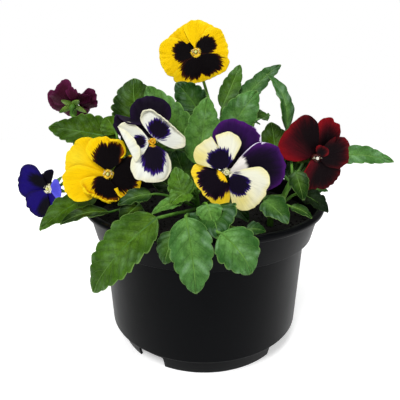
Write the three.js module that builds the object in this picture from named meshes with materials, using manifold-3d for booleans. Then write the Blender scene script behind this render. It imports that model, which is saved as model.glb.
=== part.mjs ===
// A potted pansy planter: a black nursery pot with a stepped rim band and a notched foot, potting soil,
// and leafy stems that carry seven blooms. Millimetres, +Z up. The origin is the centre of the pot's foot,
// on the surface that it stands on, and -Y is the side of the big three-coloured bloom.
import * as THREE from "three";
import { mergeVertices } from "three/addons/utils/BufferGeometryUtils.js";
import Module from "manifold-3d";

const wasm = await Module();
wasm.setup();

// The pot, by its outer radii and heights
const POT_HEIGHT = 104;
const LIP_RADIUS = 85;
const LIP_Z = 102;
const LIP_INNER_RADIUS = 80.4;
const BAND_TOP_RADIUS = 81.6;
const BAND_TOP_Z = 99.5;
const BAND_BOTTOM_RADIUS = 77.6;
const BAND_BOTTOM_Z = 81.5;
const BODY_TOP_RADIUS = 72.8;
const BODY_BOTTOM_RADIUS = 70;
const BODY_BOTTOM_Z = 14;
const FOOT_TOP_RADIUS = 65;
const FOOT_TOP_Z = 10.5;
const FOOT_RADIUS = 62.5;
const WALL = 1.8;
const BASE_Z = 9.2;
const EDGE_ROUND = 0.6;
const LIP_ROUND = 2;
const POT_SIDES = 30;

// The foot's four notches, and the drain holes in the base
const NOTCH_COUNT = 4;
const NOTCH_DEG = 20;
const FIRST_NOTCH_DEG = -125;
const NOTCH_HEIGHT = 8.4;
const NOTCH_MARGIN = 3;
const DRAIN_COUNT = 4;
const DRAIN_RADIUS = 4.5;
const DRAIN_RING_RADIUS = 44;
const DRAIN_SIDES = 6;

// The soil
const SOIL_Z = 92;
const SOIL_RINGS = [54, 26];
const SOIL_HEAP = 1.3;
const SOIL_LUMP = 7;
const SOIL_MARGIN = 2;
const FIT_GAP = 0.35;
const ROOT_DEPTH = 14;
const HOLE_SIDES = 6;

// Blades, stems and stalks
const LEAF_THICK = 0.9;
const PETAL_THICK = 0.8;
const SEPAL_THICK = 0.8;
const TOOTH_DEPTH = 0.17;
const LEAST_HALF_WIDTH = 0.9;
const LEAF_FOLD = 0.18;
const FOLD_LEAST_WIDTH = 11;
const LEAF_BELLY = 0.62;
const LEAF_FULLNESS = 0.66;
const TOOTH_VALLEY = 0.1;
const TOOTH_PEAK = 0.8;
const STALK_BEND = 0.25;
const STALK_RISE = 1.5;
const STALK_SHARES = [0, 0.5];
const STEM_RADIUS = 2.2;
const STALK_RADIUS = 1.1;
const COLLAR = 4;
const COLLAR_PROUD = 2;

// The middle of a bloom: rings that its petals grow from, one for each colour, and the style in their bore
const RING_RADIUS = 2.8;
const RING_BORE = 1.4;
const RING_HALF_HEIGHT = 0.5;
const RING_SIDES = 7;
const LAYER_PITCH = 1.3;
const LAYERS = { back: 0, upper: 1, lip: 2, lateral: 3 };
const CLAW_START = 1.9;
const CLAW_SHARE = 0.42;
const CLAW_END = 0.5;
const PETAL_ROUND = 0.44;
const PETAL_SPREAD = 0.8;
const RUFFLE_COUNT = 5;
const RUFFLE_HEIGHT = 0.7;
const PETAL_CELLS_ALONG = 3;
const PETAL_CELLS_ACROSS = 4;
const STYLE_RADIUS = 1;
const STYLE_PROUD = 1.2;
const RECEPTACLE_LENGTH = 5;
const RECEPTACLE_RADIUS = 2.3;
const SEPAL_COUNT = 5;
const SEPAL_LENGTH = 10;
const SEPAL_ROOT_RADIUS = 2.1;
const SEPAL_TIP_ANGLE = 0.09;
const SEPAL_SWEEP = 0.3;
const STALK_LEAD = 5;

const FINISHES = {
  pot: { color: 0x1b1b1d, roughness: 0.5 },
  soil: { color: 0x1c130d, roughness: 1 },
  leaf: { color: 0x3f7a25, roughness: 0.55 },
  yellow: { color: 0xf7c600, roughness: 0.75 },
  cream: { color: 0xf2efd2, roughness: 0.75 },
  white: { color: 0xeef0e4, roughness: 0.75 },
  purple: { color: 0x38145e, roughness: 0.75 },
  night: { color: 0x1c0d2c, roughness: 0.75 },
  red: { color: 0x6b0710, roughness: 0.75 },
  burgundy: { color: 0x47102a, roughness: 0.75 },
  blue: { color: 0x22107a, roughness: 0.75 },
};

// The points that each leafy stem climbs through above the soil. The first is where it stands.
const ROUTES = {
  front: [[-2, -36], [-4, -45, 108], [-6, -50, 124]],
  right: [[44, -30], [50, -35, 112], [56, -34, 126]],
  left: [[-44, -14], [-54, -20, 118], [-58, -20, 142]],
  middle: [[6, 20], [10, 8, 130], [12, 0, 160]],
  back_left: [[-22, 12], [-26, 0, 128], [-30, -10, 148]],
  back_right: [[34, 40], [38, 46, 125], [40, 48, 146]],
  back: [[-28, 44], [-34, 50, 122], [-36, 54, 144]],
};

// The leaves of each stem. A leaf's stalk leaves the stem at a share of its length, and its blade runs from
// base to tip and bows towards the way that it faces.
const LEAVES = {
  front: [
    { at: 0.5, base: [-26, -80, 115], tip: [-63, -84, 73], wide: 28, bow: 7, face: [-0.3, -1, 0.9], teeth: 5 },
    { at: 0.3, base: [-10, -88, 118], tip: [-5, -95, 78], wide: 22, bow: 6, face: [0, -1, 0.5], teeth: 5 },
    { at: 0.2, base: [-16, -83, 108], tip: [-22, -88, 92], wide: 14, bow: 2, face: [0, -1, 0.4], teeth: 3 },
    { at: 0.2, base: [8, -92, 111], tip: [24, -95, 90], wide: 23, bow: 4, face: [0.1, -1, 0.6], teeth: 4 },
    { at: 0.4, base: [3, -65, 115], tip: [7, -94, 109.5], wide: 27, bow: 3, face: [-0.1, -0.6, 1], teeth: 4 },
    { at: 0.3, base: [1, -74, 120.5], tip: [4, -85, 112.5], wide: 14, bow: 1, face: [0, -1, 0.8], teeth: 3 },
    { at: 0.8, base: [-12, -59, 120], tip: [-17, -55, 137], wide: 15, bow: 1, face: [0, -1, 0.6], teeth: 3 },
    { at: 0.8, base: [-10, -58, 123], tip: [-19, -70, 120], wide: 13, bow: 1, face: [0, -0.8, 1], teeth: 3 },
    { at: 0.7, base: [-13, -64, 120], tip: [-29, -74, 116], wide: 8, bow: 1, face: [0, -0.8, 1], teeth: 2 },
    { at: 0.5, base: [-32, -52, 120], tip: [-51, -58, 116], wide: 12, bow: 2, face: [0, -0.6, 1], teeth: 3 },
    { at: 0.97, base: [-3, -44, 136], tip: [2, -22, 175], wide: 22, bow: 3, face: [0, -1, 0.3], teeth: 4 },
    { at: 0.3, base: [23, -71, 105], tip: [33, -75, 106], wide: 9, bow: 1, face: [0, -0.8, 1], teeth: 2 },
    { at: 0.6, base: [-18, -42, 120], tip: [-34, -38, 128], wide: 15, bow: 1, face: [0, -0.8, 1], teeth: 3 },
    { at: 0.5, base: [-10, -34, 120], tip: [-19, -25, 142], wide: 22, bow: 1, face: [0, -1, 0.6], teeth: 2 },
    { at: 0.5, base: [10, -50, 116], tip: [26, -60, 106], wide: 15, bow: 2, face: [0, -0.4, 1], teeth: 3 },
  ],
  right: [
    { at: 0.6, base: [34, -62, 119], tip: [46, -73, 110], wide: 16, bow: 1, face: [0, -0.7, 1], teeth: 3 },
    { at: 0.4, base: [52, -51, 112], tip: [63, -59, 108], wide: 7, bow: 1, face: [0, -0.7, 1], teeth: 2 },
    { at: 0.95, base: [56, -41, 131], tip: [59, -53, 117], wide: 12, bow: 1, face: [0, -1, 0.5], teeth: 3 },
    { at: 0.6, base: [86, -6, 134], tip: [134.4, -3, 130], wide: 15, bow: 2, face: [0, -1, 0.8], teeth: 4 },
    { at: 0.98, base: [55, -11, 153], tip: [43, 4, 189], wide: 13, bow: 6, face: [0.6, -0.8, 0.5], teeth: 4 },
    { at: 0.9, base: [47, -24, 132], tip: [45, -9, 158], wide: 22, bow: 2, face: [0, -1, 0.4], teeth: 3 },
    { at: 0.2, base: [76, -1, 108], tip: [92, 3, 107], wide: 9, bow: 1, face: [0, -0.6, 1], teeth: 2 },
    { at: 0.3, base: [62, -34, 115], tip: [76, -48, 108], wide: 15, bow: 2, face: [0, -0.5, 1], teeth: 3 },
    { at: 0.7, base: [60, -16, 118], tip: [64, -10, 142], wide: 20, bow: 1, face: [0, -1, 0.3], teeth: 2 },
  ],
  left: [
    { at: 0.98, base: [-57, -18, 148], tip: [-105, -9, 155], wide: 26, bow: 3, face: [0, -1, 0.9], teeth: 4 },
    { at: 0.95, base: [-57, -22, 152], tip: [-65, -13, 162], wide: 15, bow: 1, face: [0, -1, 0.5], teeth: 3 },
    { at: 0.2, base: [-74, -24, 111], tip: [-100, -55, 99], wide: 22, bow: 2, face: [0, -0.4, 1], teeth: 4 },
    { at: 0.15, base: [-60, -44, 106], tip: [-86, -58, 104], wide: 12, bow: 3, face: [0, -0.4, 1], teeth: 2 },
    { at: 0.3, base: [-76, -4, 116], tip: [-98, 14, 106], wide: 18, bow: 3, face: [-0.4, 0, 1], teeth: 2 },
    { at: 0.15, base: [-44, -32, 106], tip: [-52, -46, 101], wide: 16, bow: 1, face: [0, -0.5, 1], teeth: 3 },
    { at: 0.5, base: [-50, -12, 134], tip: [-50, -2, 156], wide: 16, bow: 1, face: [0, -1, 0.3], teeth: 2 },
  ],
  middle: [
    { at: 0.98, base: [21, -6, 167], tip: [56, 28, 196], wide: 15, bow: 3, face: [-0.5, -1, 0.6], teeth: 4 },
    { at: 0.98, base: [12, -6, 167], tip: [25, 11, 195], wide: 13, bow: 2, face: [0, -1, 0.3], teeth: 4 },
    { at: 0.9, base: [15, -18, 151], tip: [35, -8, 178], wide: 22, bow: 3, face: [0, -1, 0.3], teeth: 4 },
    { at: 0.95, base: [-4, 1, 164], tip: [-19, 3, 183], wide: 22, bow: 2, face: [0, -1, 0.3], teeth: 4 },
    { at: 0.9, base: [31, -6, 161], tip: [43, -2, 161], wide: 9, bow: 1, face: [0, -1, 0.6], teeth: 2 },
    { at: 0.7, base: [30, 20, 150], tip: [48, 29, 154], wide: 17, bow: 3, face: [0.2, -0.2, 1], teeth: 3 },
    { at: 0.7, base: [-6, 32, 152], tip: [-22, 46, 166], wide: 20, bow: 3, face: [-0.2, 0.8, 0.8], teeth: 3 },
  ],
  back_left: [
    { at: 0.8, base: [-9, -30, 147], tip: [-38, -9, 181], wide: 24, bow: 4, face: [-0.3, -1, 0.4], teeth: 4 },
    { at: 0.98, base: [-43, -10, 154], tip: [-48, 3, 186], wide: 31, bow: 3, face: [0, -1, 0.3], teeth: 4 },
    { at: 0.8, base: [-38, 14, 150], tip: [-62, 26, 160], wide: 20, bow: 3, face: [-0.2, 0.2, 1], teeth: 3 },
    { at: 0.3, base: [-14, -4, 132], tip: [-36, 0, 148], wide: 18, bow: 2, face: [0, -1, 0.5], teeth: 2 },
    { at: 0.3, base: [-52, 20, 120], tip: [-82, 28, 114], wide: 18, bow: 3, face: [-0.2, 0.1, 1], teeth: 2 },
  ],
  back_right: [
    { at: 0.6, base: [60, 40, 126], tip: [102, 50, 118], wide: 22, bow: 5, face: [0, 0.2, 1], teeth: 3 },
    { at: 0.4, base: [54, 64, 120], tip: [73, 99, 105], wide: 24, bow: 5, face: [0.2, 0.5, 1], teeth: 2 },
    { at: 0.7, base: [26, 68, 130], tip: [20, 101, 125], wide: 22, bow: 4, face: [0, 0.6, 1], teeth: 2 },
    { at: 0.98, base: [44, 54, 152], tip: [60, 77, 156], wide: 20, bow: 2, face: [0.2, 0.8, 0.8], teeth: 2 },
    { at: 0.9, base: [62, 26, 140], tip: [96, 24, 146], wide: 17, bow: 3, face: [0.1, 0, 1], teeth: 2 },
    { at: 0.2, base: [66, 34, 110], tip: [92, 62, 104], wide: 20, bow: 4, face: [0.3, 0.3, 1], teeth: 2 },
  ],
  back: [
    { at: 0.4, base: [-52, 62, 118], tip: [-72, 90, 103], wide: 24, bow: 5, face: [-0.2, 0.5, 1], teeth: 2 },
    { at: 0.5, base: [-26, 72, 122], tip: [-20, 101.5, 103], wide: 22, bow: 4, face: [0, 0.8, 1], teeth: 2 },
    { at: 0.7, base: [-62, 44, 128], tip: [-100, 52, 122], wide: 20, bow: 4, face: [-0.1, 0.1, 1], teeth: 2 },
    { at: 0.98, base: [-40, 56, 149], tip: [-56, 70, 168], wide: 20, bow: 2, face: [-0.2, 0.8, 0.8], teeth: 2 },
    { at: 0.9, base: [-16, 56, 146], tip: [4, 72, 164], wide: 18, bow: 3, face: [0.2, 0.8, 0.8], teeth: 2 },
    { at: 0.3, base: [4, 66, 114], tip: [28, 99, 102], wide: 22, bow: 4, face: [0, 0.5, 1], teeth: 2 },
    { at: 0.6, base: [-14, 40, 132], tip: [14, 36, 140], wide: 20, bow: 3, face: [0, 0.4, 1], teeth: 2 },
  ],
};

// Each bloom: its middle, the way that it looks, the leafy stem that its stalk leaves and where, the points
// that the stalk passes, and its petals. A petal points turn degrees clockwise from straight up, as seen by
// one who faces the bloom, and it leans out of the bloom's face by lean for each millimetre of its length.
const BLOOMS = [
  {
    middle: [-6, 23, 203],
    face: [0.03, -1, 0.08],
    stem: "middle",
    at: 0.75,
    via: [[2, 28, 176]],
    petals: [
      { body: "petals_yellow_top", layer: "back", turn: -24, length: 20.5, width: 31 },
      { body: "petals_yellow_top", layer: "upper", turn: 36, length: 20, width: 27 },
      { body: "petals_yellow_top", layer: "lip", turn: 162, length: 20.5, width: 42 },
      { body: "petals_yellow_top", layer: "lateral", turn: -93, length: 26, width: 28 },
      { body: "petals_yellow_top", layer: "lateral", turn: 66, length: 22, width: 26 },
    ],
  },
  {
    middle: [-94, 13, 167.5],
    face: [-0.1, 0.8, 0.6],
    stem: "left",
    at: 0.9,
    via: [[-84, -2, 156]],
    petals: [
      { body: "petals_burgundy_left", layer: "back", turn: -34, length: 16, width: 20 },
      { body: "petals_burgundy_left", layer: "upper", turn: 34, length: 16, width: 20 },
      { body: "petals_burgundy_left", layer: "lip", turn: 178, length: 15, width: 21 },
      { body: "petals_burgundy_left", layer: "lateral", turn: -95, length: 17, width: 19 },
      { body: "petals_burgundy_left", layer: "lateral", turn: 98, length: 17, width: 19 },
    ],
  },
  {
    middle: [-60, -37, 129],
    face: [0.1, -1, 0.15],
    stem: "left",
    at: 0.45,
    via: [[-60, -24, 124]],
    petals: [
      { body: "petals_yellow_left", layer: "back", turn: -58, length: 29, width: 30 },
      { body: "petals_yellow_left", layer: "upper", turn: -104, length: 29, width: 28 },
      { body: "petals_yellow_left", layer: "lip", turn: 106, length: 20, width: 29 },
      { body: "petals_yellow_left", layer: "lateral", turn: 2, length: 22, width: 25 },
      { body: "petals_yellow_left", layer: "lateral", turn: -152, length: 18.5, width: 25 },
    ],
  },
  {
    middle: [-31, -45, 150.4],
    face: [0.15, -1, 0.15],
    stem: "back_left",
    at: 0.9,
    via: [[-31, -28, 146]],
    petals: [
      { body: "petals_night", layer: "back", turn: -48, length: 24, width: 17, lean: -0.12 },
      { body: "petals_night", layer: "upper", turn: 3, length: 26, width: 27, lean: -0.12 },
      { body: "petals_white", layer: "lip", turn: -173, length: 23, width: 20, lean: 0.22 },
      { body: "petals_white", layer: "lateral", turn: 37, length: 17, width: 29, lean: 0.12 },
      { body: "petals_white", layer: "lateral", turn: -92, length: 19.5, width: 22 },
    ],
  },
  {
    middle: [12, -58, 135],
    face: [0.05, -1, 0.15],
    stem: "front",
    at: 0.85,
    via: [[8, -46, 127]],
    petals: [
      { body: "petals_purple", layer: "upper", turn: 83, length: 34.5, width: 28, lean: -0.1 },
      { body: "petals_purple", layer: "back", turn: 20, length: 30, width: 29, lean: -0.12 },
      { body: "petal_yellow_lip", layer: "lip", turn: -129, length: 17.5, width: 29 },
      { body: "petals_cream", layer: "lateral", turn: -23, length: 22, width: 28, lean: 0.08 },
      { body: "petals_cream", layer: "lateral", turn: 125, length: 25, width: 27, lean: 0.08 },
    ],
  },
  {
    middle: [71.5, -22, 136],
    face: [0.35, -1, 0.1],
    stem: "right",
    at: 0.9,
    via: [[66, -16, 130]],
    petals: [
      { body: "petals_red_right", layer: "back", turn: 30, length: 28, width: 18 },
      { body: "petals_red_right", layer: "upper", turn: -42, length: 29, width: 33 },
      { body: "petals_red_right", layer: "lip", turn: 140, length: 22.5, width: 23 },
      { body: "petals_red_right", layer: "lateral", turn: 80, length: 26, width: 21 },
      { body: "petals_red_right", layer: "lateral", turn: -165, length: 23, width: 15 },
    ],
  },
  {
    middle: [-109, -6, 111],
    face: [-0.3, -1, 0.1],
    stem: "left",
    at: 0.25,
    via: [[-94, 4, 118]],
    petals: [
      { body: "petals_blue_left", layer: "back", turn: -45, length: 16, width: 20 },
      { body: "petals_blue_left", layer: "upper", turn: -78, length: 27, width: 26 },
      { body: "petals_blue_left", layer: "lip", turn: 178, length: 15, width: 17 },
      { body: "petals_blue_left", layer: "lateral", turn: -143, length: 23, width: 22 },
      { body: "petals_blue_left", layer: "lateral", turn: 85, length: 11, width: 14 },
    ],
  },
];

// The finish of each body of petals
const PETAL_FINISHES = {
  petals_yellow_top: "yellow",
  petals_burgundy_left: "burgundy",
  petals_yellow_left: "yellow",
  petals_night: "night",
  petals_white: "white",
  petals_purple: "purple",
  petal_yellow_lip: "yellow",
  petals_cream: "cream",
  petals_red_right: "red",
  petals_blue_left: "blue",
};

const vec = (p) => new THREE.Vector3(...p);
const radians = THREE.MathUtils.degToRad;

// A closed three.js geometry as a solid, without the flat triangles at a lathe's poles
function solidOf(geometry) {
  const bare = geometry.clone();
  for (const name of Object.keys(bare.attributes)) {
    if (name !== "position") bare.deleteAttribute(name);
  }
  const merged = mergeVertices(bare, 1e-4);
  const corners = merged.index.array;
  const kept = [];
  for (let i = 0; i < corners.length; i += 3) {
    const [a, b, c] = corners.slice(i, i + 3);
    if (a !== b && b !== c && c !== a) kept.push(a, b, c);
  }
  return new wasm.Manifold(
    new wasm.Mesh({
      numProp: 3,
      vertProperties: merged.attributes.position.array,
      triVerts: new Uint32Array(kept),
    }),
  );
}

// The largest body of a solid, without the loose scraps that crossing blades leave
function largest(solid) {
  return solid.decompose().sort((a, b) => b.volume() - a.volume())[0];
}

// A named mesh of one solid, in its finish
function meshOf(name, solid, finish) {
  const { vertProperties, triVerts } = largest(solid).getMesh();
  const geometry = new THREE.BufferGeometry();
  geometry.setAttribute("position", new THREE.BufferAttribute(vertProperties, 3));
  geometry.setIndex(new THREE.BufferAttribute(triVerts, 1));
  geometry.computeVertexNormals();
  const material = new THREE.MeshStandardMaterial({ metalness: 0, ...FINISHES[finish] });
  const mesh = new THREE.Mesh(geometry, material);
  mesh.name = name;
  return mesh;
}

// A lathe turned about +Z. The profile's points are radius and height.
function turned(profile) {
  const points = profile.map(([r, z]) => new THREE.Vector2(r, z));
  return new THREE.LatheGeometry(points, POT_SIDES).rotateX(Math.PI / 2);
}

// An upright cylinder with its foot at a place
function post(radius, height, sides, x, y, z) {
  const cylinder = new THREE.CylinderGeometry(radius, radius, height, sides).rotateX(Math.PI / 2);
  return solidOf(cylinder.translate(x, y, z + height / 2));
}

// A round bar along a curve, with flat ends
function bar(curve, radius, sides, steps) {
  const section = new THREE.Shape();
  for (let i = 0; i < sides; i++) {
    const angle = (2 * Math.PI * i) / sides;
    const corner = [radius * Math.cos(angle), radius * Math.sin(angle)];
    if (i === 0) section.moveTo(...corner);
    else section.lineTo(...corner);
  }
  return solidOf(new THREE.ExtrudeGeometry(section, { steps, extrudePath: curve, bevelEnabled: false }));
}

// A closed slab of even thickness about a grid of points, with both faces split into triangles alike
function slab(grid, thick) {
  const columns = grid[0].length;
  const middle = grid.flat();
  const normals = middle.map(() => new THREE.Vector3());
  const cells = [];
  const rim = [];
  for (let i = 0; i + 1 < grid.length; i++) {
    for (let j = 0; j + 1 < columns; j++) {
      const a = i * columns + j;
      cells.push([a, a + 1, a + columns + 1], [a, a + columns + 1, a + columns]);
    }
  }
  for (const [a, b, c] of cells) {
    const across = middle[b].clone().sub(middle[a]);
    const normal = across.cross(middle[c].clone().sub(middle[a]));
    for (const k of [a, b, c]) normals[k].add(normal);
  }
  for (let j = 0; j + 1 < columns; j++) rim.push(j);
  for (let i = 0; i + 1 < grid.length; i++) rim.push(i * columns + columns - 1);
  for (let j = columns - 1; j > 0; j--) rim.push((grid.length - 1) * columns + j);
  for (let i = grid.length - 1; i > 0; i--) rim.push(i * columns);
  const count = middle.length;
  const corners = [];
  for (const [a, b, c] of cells) corners.push(a, b, c, a + count, c + count, b + count);
  rim.forEach((a, k) => {
    const b = rim[(k + 1) % rim.length];
    corners.push(b, a, a + count, b, a + count, b + count);
  });
  const faces = [0.5, -0.5].map((half) =>
    middle.map((p, k) => p.clone().addScaledVector(normals[k].clone().normalize(), half * thick)),
  );
  const geometry = new THREE.BufferGeometry().setFromPoints(faces.flat());
  geometry.setIndex(corners);
  return solidOf(geometry);
}

// The way that a blade runs, the way that it faces and the way across it
function bladeAxes(from, to, face) {
  const along = vec(to).sub(vec(from));
  const length = along.length();
  along.normalize();
  const out = vec(face);
  out.addScaledVector(along, -out.dot(along)).normalize();
  const across = new THREE.Vector3().crossVectors(along, out);
  return { along, across, out, length };
}

// One row of points across a blade. Its edges rise by fold for each millimetre out from the midrib.
function acrossRow(point, across, out, half, fold, sides) {
  return sides.map((side) =>
    point
      .clone()
      .addScaledVector(across, side * half)
      .addScaledVector(out, fold * half * Math.abs(side)),
  );
}

// A leaf's blade: egg-shaped, widest near its base, with rounded teeth that lean towards the tip
function bladeRows({ base, tip, face, wide, bow, teeth }) {
  const { along, across, out, length } = bladeAxes(base, tip, face);
  const sides = wide < FOLD_LEAST_WIDTH ? [-1, 1] : [-1, 0, 1];
  const shares = [0];
  for (let k = 0; k < teeth; k++) shares.push((k + TOOTH_VALLEY) / teeth, (k + TOOTH_PEAK) / teeth);
  shares.push(1);
  return shares.map((t, k) => {
    const point = vec(base).addScaledVector(along, length * t).addScaledVector(out, bow * 4 * t * (1 - t));
    const egg = Math.pow(Math.abs(Math.sin(Math.PI * Math.pow(t, LEAF_BELLY))), LEAF_FULLNESS);
    const toothed = k % 2 === 1 ? 1 - TOOTH_DEPTH : 1;
    const half = Math.max(LEAST_HALF_WIDTH, (wide / 2) * egg * toothed);
    return acrossRow(point, across, out, half, LEAF_FOLD, sides);
  });
}

// A leaf: a flat stalk from the leafy stem that widens into the blade, as one slab
function leaf(sheet, start) {
  const { along, across, out } = bladeAxes(sheet.base, sheet.tip, sheet.face);
  const end = vec(sheet.base);
  const bend = end.clone().addScaledVector(along, -STALK_BEND * start.distanceTo(end));
  bend.z = Math.min(bend.z, Math.max(start.z, end.z) + STALK_RISE);
  const curve = new THREE.QuadraticBezierCurve3(start, bend, end);
  const sides = sheet.wide < FOLD_LEAST_WIDTH ? [-1, 1] : [-1, 0, 1];
  const stalkRows = STALK_SHARES.map((t) => {
    const tangent = curve.getTangent(t);
    const flat = across.clone().addScaledVector(tangent, -across.dot(tangent)).normalize();
    return acrossRow(curve.getPoint(t), flat, out, LEAST_HALF_WIDTH, 0, sides);
  });
  return slab([...stalkRows, ...bladeRows(sheet)], LEAF_THICK);
}

// A bloom's own axes: up and right in its face, and out of it
function bloomAxes(bloom) {
  const out = vec(bloom.face).normalize();
  const up = new THREE.Vector3(0, 0, 1).addScaledVector(out, -out.z).normalize();
  return { up, right: new THREE.Vector3().crossVectors(up, out), out };
}

// A place in a bloom, by its distances right, up and out from the middle
function inBloom(bloom, x, y, z) {
  const { up, right, out } = bloomAxes(bloom);
  return vec(bloom.middle).addScaledVector(right, x).addScaledVector(up, y).addScaledVector(out, z);
}

// A short round piece on a bloom's axis, between two distances out from its middle
function onAxis(bloom, backRadius, frontRadius, back, front) {
  const cylinder = new THREE.CylinderGeometry(frontRadius, backRadius, front - back, RING_SIDES);
  const { up, right, out } = bloomAxes(bloom);
  const turn = new THREE.Matrix4().makeBasis(right, out, up.clone().negate());
  cylinder.applyMatrix4(turn);
  return solidOf(cylinder.translate(...inBloom(bloom, 0, 0, (back + front) / 2)));
}

// A petal: a rounded fan from its claw in the ring, with a waved rim
function petal(bloom, { layer, turn, length, width, lean = 0 }) {
  const angle = radians(turn);
  const lift = LAYERS[layer] * LAYER_PITCH;
  const grid = [];
  for (let i = 0; i <= PETAL_CELLS_ALONG; i++) {
    const v = (2 * i) / PETAL_CELLS_ALONG - 1;
    const row = [];
    for (let j = 0; j <= PETAL_CELLS_ACROSS; j++) {
      const u = (2 * j) / PETAL_CELLS_ACROSS - 1;
      const share = (v * Math.sqrt(1 - PETAL_ROUND * u * u) + 1) / 2;
      const claw = CLAW_SHARE + (1 - CLAW_SHARE) * Math.sin((Math.PI / 2) * Math.min(1, share / CLAW_END));
      const x = u * Math.sqrt(1 - PETAL_ROUND * v * v) * (width / 2) * claw;
      const y = CLAW_START + Math.pow(share, PETAL_SPREAD) * (length - CLAW_START);
      const ruffle = RUFFLE_HEIGHT * share * share * Math.sin(RUFFLE_COUNT * Math.atan2(x, y) + turn);
      const z = lift + lean * (y - CLAW_START) + ruffle;
      const rightwards = x * Math.cos(angle) + y * Math.sin(angle);
      const upwards = y * Math.cos(angle) - x * Math.sin(angle);
      row.push(inBloom(bloom, rightwards, upwards, z));
    }
    grid.push(row);
  }
  return slab(grid, PETAL_THICK);
}

// The ring that some of a bloom's petals grow from, as thick as their layers
function ring(bloom, petals) {
  const lifts = petals.map(({ layer }) => LAYERS[layer] * LAYER_PITCH);
  const back = Math.min(...lifts) - RING_HALF_HEIGHT;
  const front = Math.max(...lifts) + RING_HALF_HEIGHT;
  return onAxis(bloom, RING_RADIUS, RING_RADIUS, back, front);
}

// The petals of one colour, with the bore that clears the style
function petalsBody(bloom, petals) {
  const whole = petals.reduce((solid, each) => solid.add(petal(bloom, each)), ring(bloom, petals));
  return whole.subtract(onAxis(bloom, RING_BORE, RING_BORE, -LAYER_PITCH * 2, LAYER_PITCH * 6));
}

// The sepals of a bloom: a thin star whose points sweep back
function sepals(bloom, seat) {
  const star = new THREE.Shape();
  const notch = Math.PI / SEPAL_COUNT;
  const corner = (radius, angle) => [radius * Math.sin(angle), radius * Math.cos(angle)];
  star.moveTo(...corner(SEPAL_ROOT_RADIUS, 0));
  for (let k = 0; k < SEPAL_COUNT; k++) {
    const middle = 2 * notch * (k + 0.5);
    star.lineTo(...corner(SEPAL_LENGTH, middle - SEPAL_TIP_ANGLE));
    star.lineTo(...corner(SEPAL_LENGTH, middle + SEPAL_TIP_ANGLE));
    if (k + 1 < SEPAL_COUNT) star.lineTo(...corner(SEPAL_ROOT_RADIUS, middle + notch));
  }
  const blade = new THREE.ExtrudeGeometry(star, { depth: SEPAL_THICK, bevelEnabled: false });
  const place = blade.attributes.position;
  for (let k = 0; k < place.count; k++) {
    const radius = Math.hypot(place.getX(k), place.getY(k));
    place.setZ(k, place.getZ(k) - SEPAL_SWEEP * radius);
  }
  const { up, right, out } = bloomAxes(bloom);
  blade.applyMatrix4(new THREE.Matrix4().makeBasis(right, up, out));
  return solidOf(blade.translate(...inBloom(bloom, 0, 0, seat - 1)));
}

// The green back of a bloom: sepals round a receptacle, and the style that stands through the rings
function calyx(bloom) {
  const seat = -RING_HALF_HEIGHT - FIT_GAP;
  const front = LAYERS.lateral * LAYER_PITCH + RING_HALF_HEIGHT + STYLE_PROUD;
  const style = onAxis(bloom, STYLE_RADIUS, STYLE_RADIUS, seat - 1, front);
  const receptacle = onAxis(bloom, STALK_RADIUS, RECEPTACLE_RADIUS, seat - RECEPTACLE_LENGTH, seat);
  return receptacle.add(style).add(sepals(bloom, seat));
}

// A bloom's stalk, from the leafy stem to the back of the receptacle
function stalk(bloom, start) {
  const end = inBloom(bloom, 0, 0, -RECEPTACLE_LENGTH);
  const before = inBloom(bloom, 0, 0, -RECEPTACLE_LENGTH - STALK_LEAD);
  const curve = new THREE.CatmullRomCurve3([start, ...bloom.via.map(vec), before, end]);
  return bar(curve, STALK_RADIUS, 4, 6);
}

// A leafy stem, with its root in the soil, its leaves, and the stalks and calyxes of its blooms
function leafyStem(name) {
  const [[x, y], ...rest] = ROUTES[name];
  const curve = new THREE.CatmullRomCurve3([vec([x, y, SOIL_Z + COLLAR]), ...rest.map(vec)]);
  let whole = post(STEM_RADIUS, ROOT_DEPTH + COLLAR + COLLAR_PROUD, HOLE_SIDES, x, y, SOIL_Z - ROOT_DEPTH);
  whole = whole.add(bar(curve, STEM_RADIUS, HOLE_SIDES, 4));
  for (const each of LEAVES[name]) whole = whole.add(leaf(each, curve.getPointAt(each.at)));
  for (const bloom of BLOOMS.filter(({ stem }) => stem === name)) {
    whole = whole.add(calyx(bloom)).add(stalk(bloom, curve.getPointAt(bloom.at)));
  }
  return whole;
}

// The wall line on the pot's inside, from the rim down to the base
const INSIDE = [
  [LIP_INNER_RADIUS, POT_HEIGHT - EDGE_ROUND],
  [BAND_TOP_RADIUS - WALL, BAND_TOP_Z - EDGE_ROUND],
  [BAND_BOTTOM_RADIUS - WALL, BAND_BOTTOM_Z + WALL],
  [BODY_TOP_RADIUS - WALL, BAND_BOTTOM_Z - EDGE_ROUND],
  [BODY_BOTTOM_RADIUS - WALL, BODY_BOTTOM_Z + EDGE_ROUND],
  [FOOT_TOP_RADIUS - WALL, BASE_Z + WALL],
];

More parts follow.
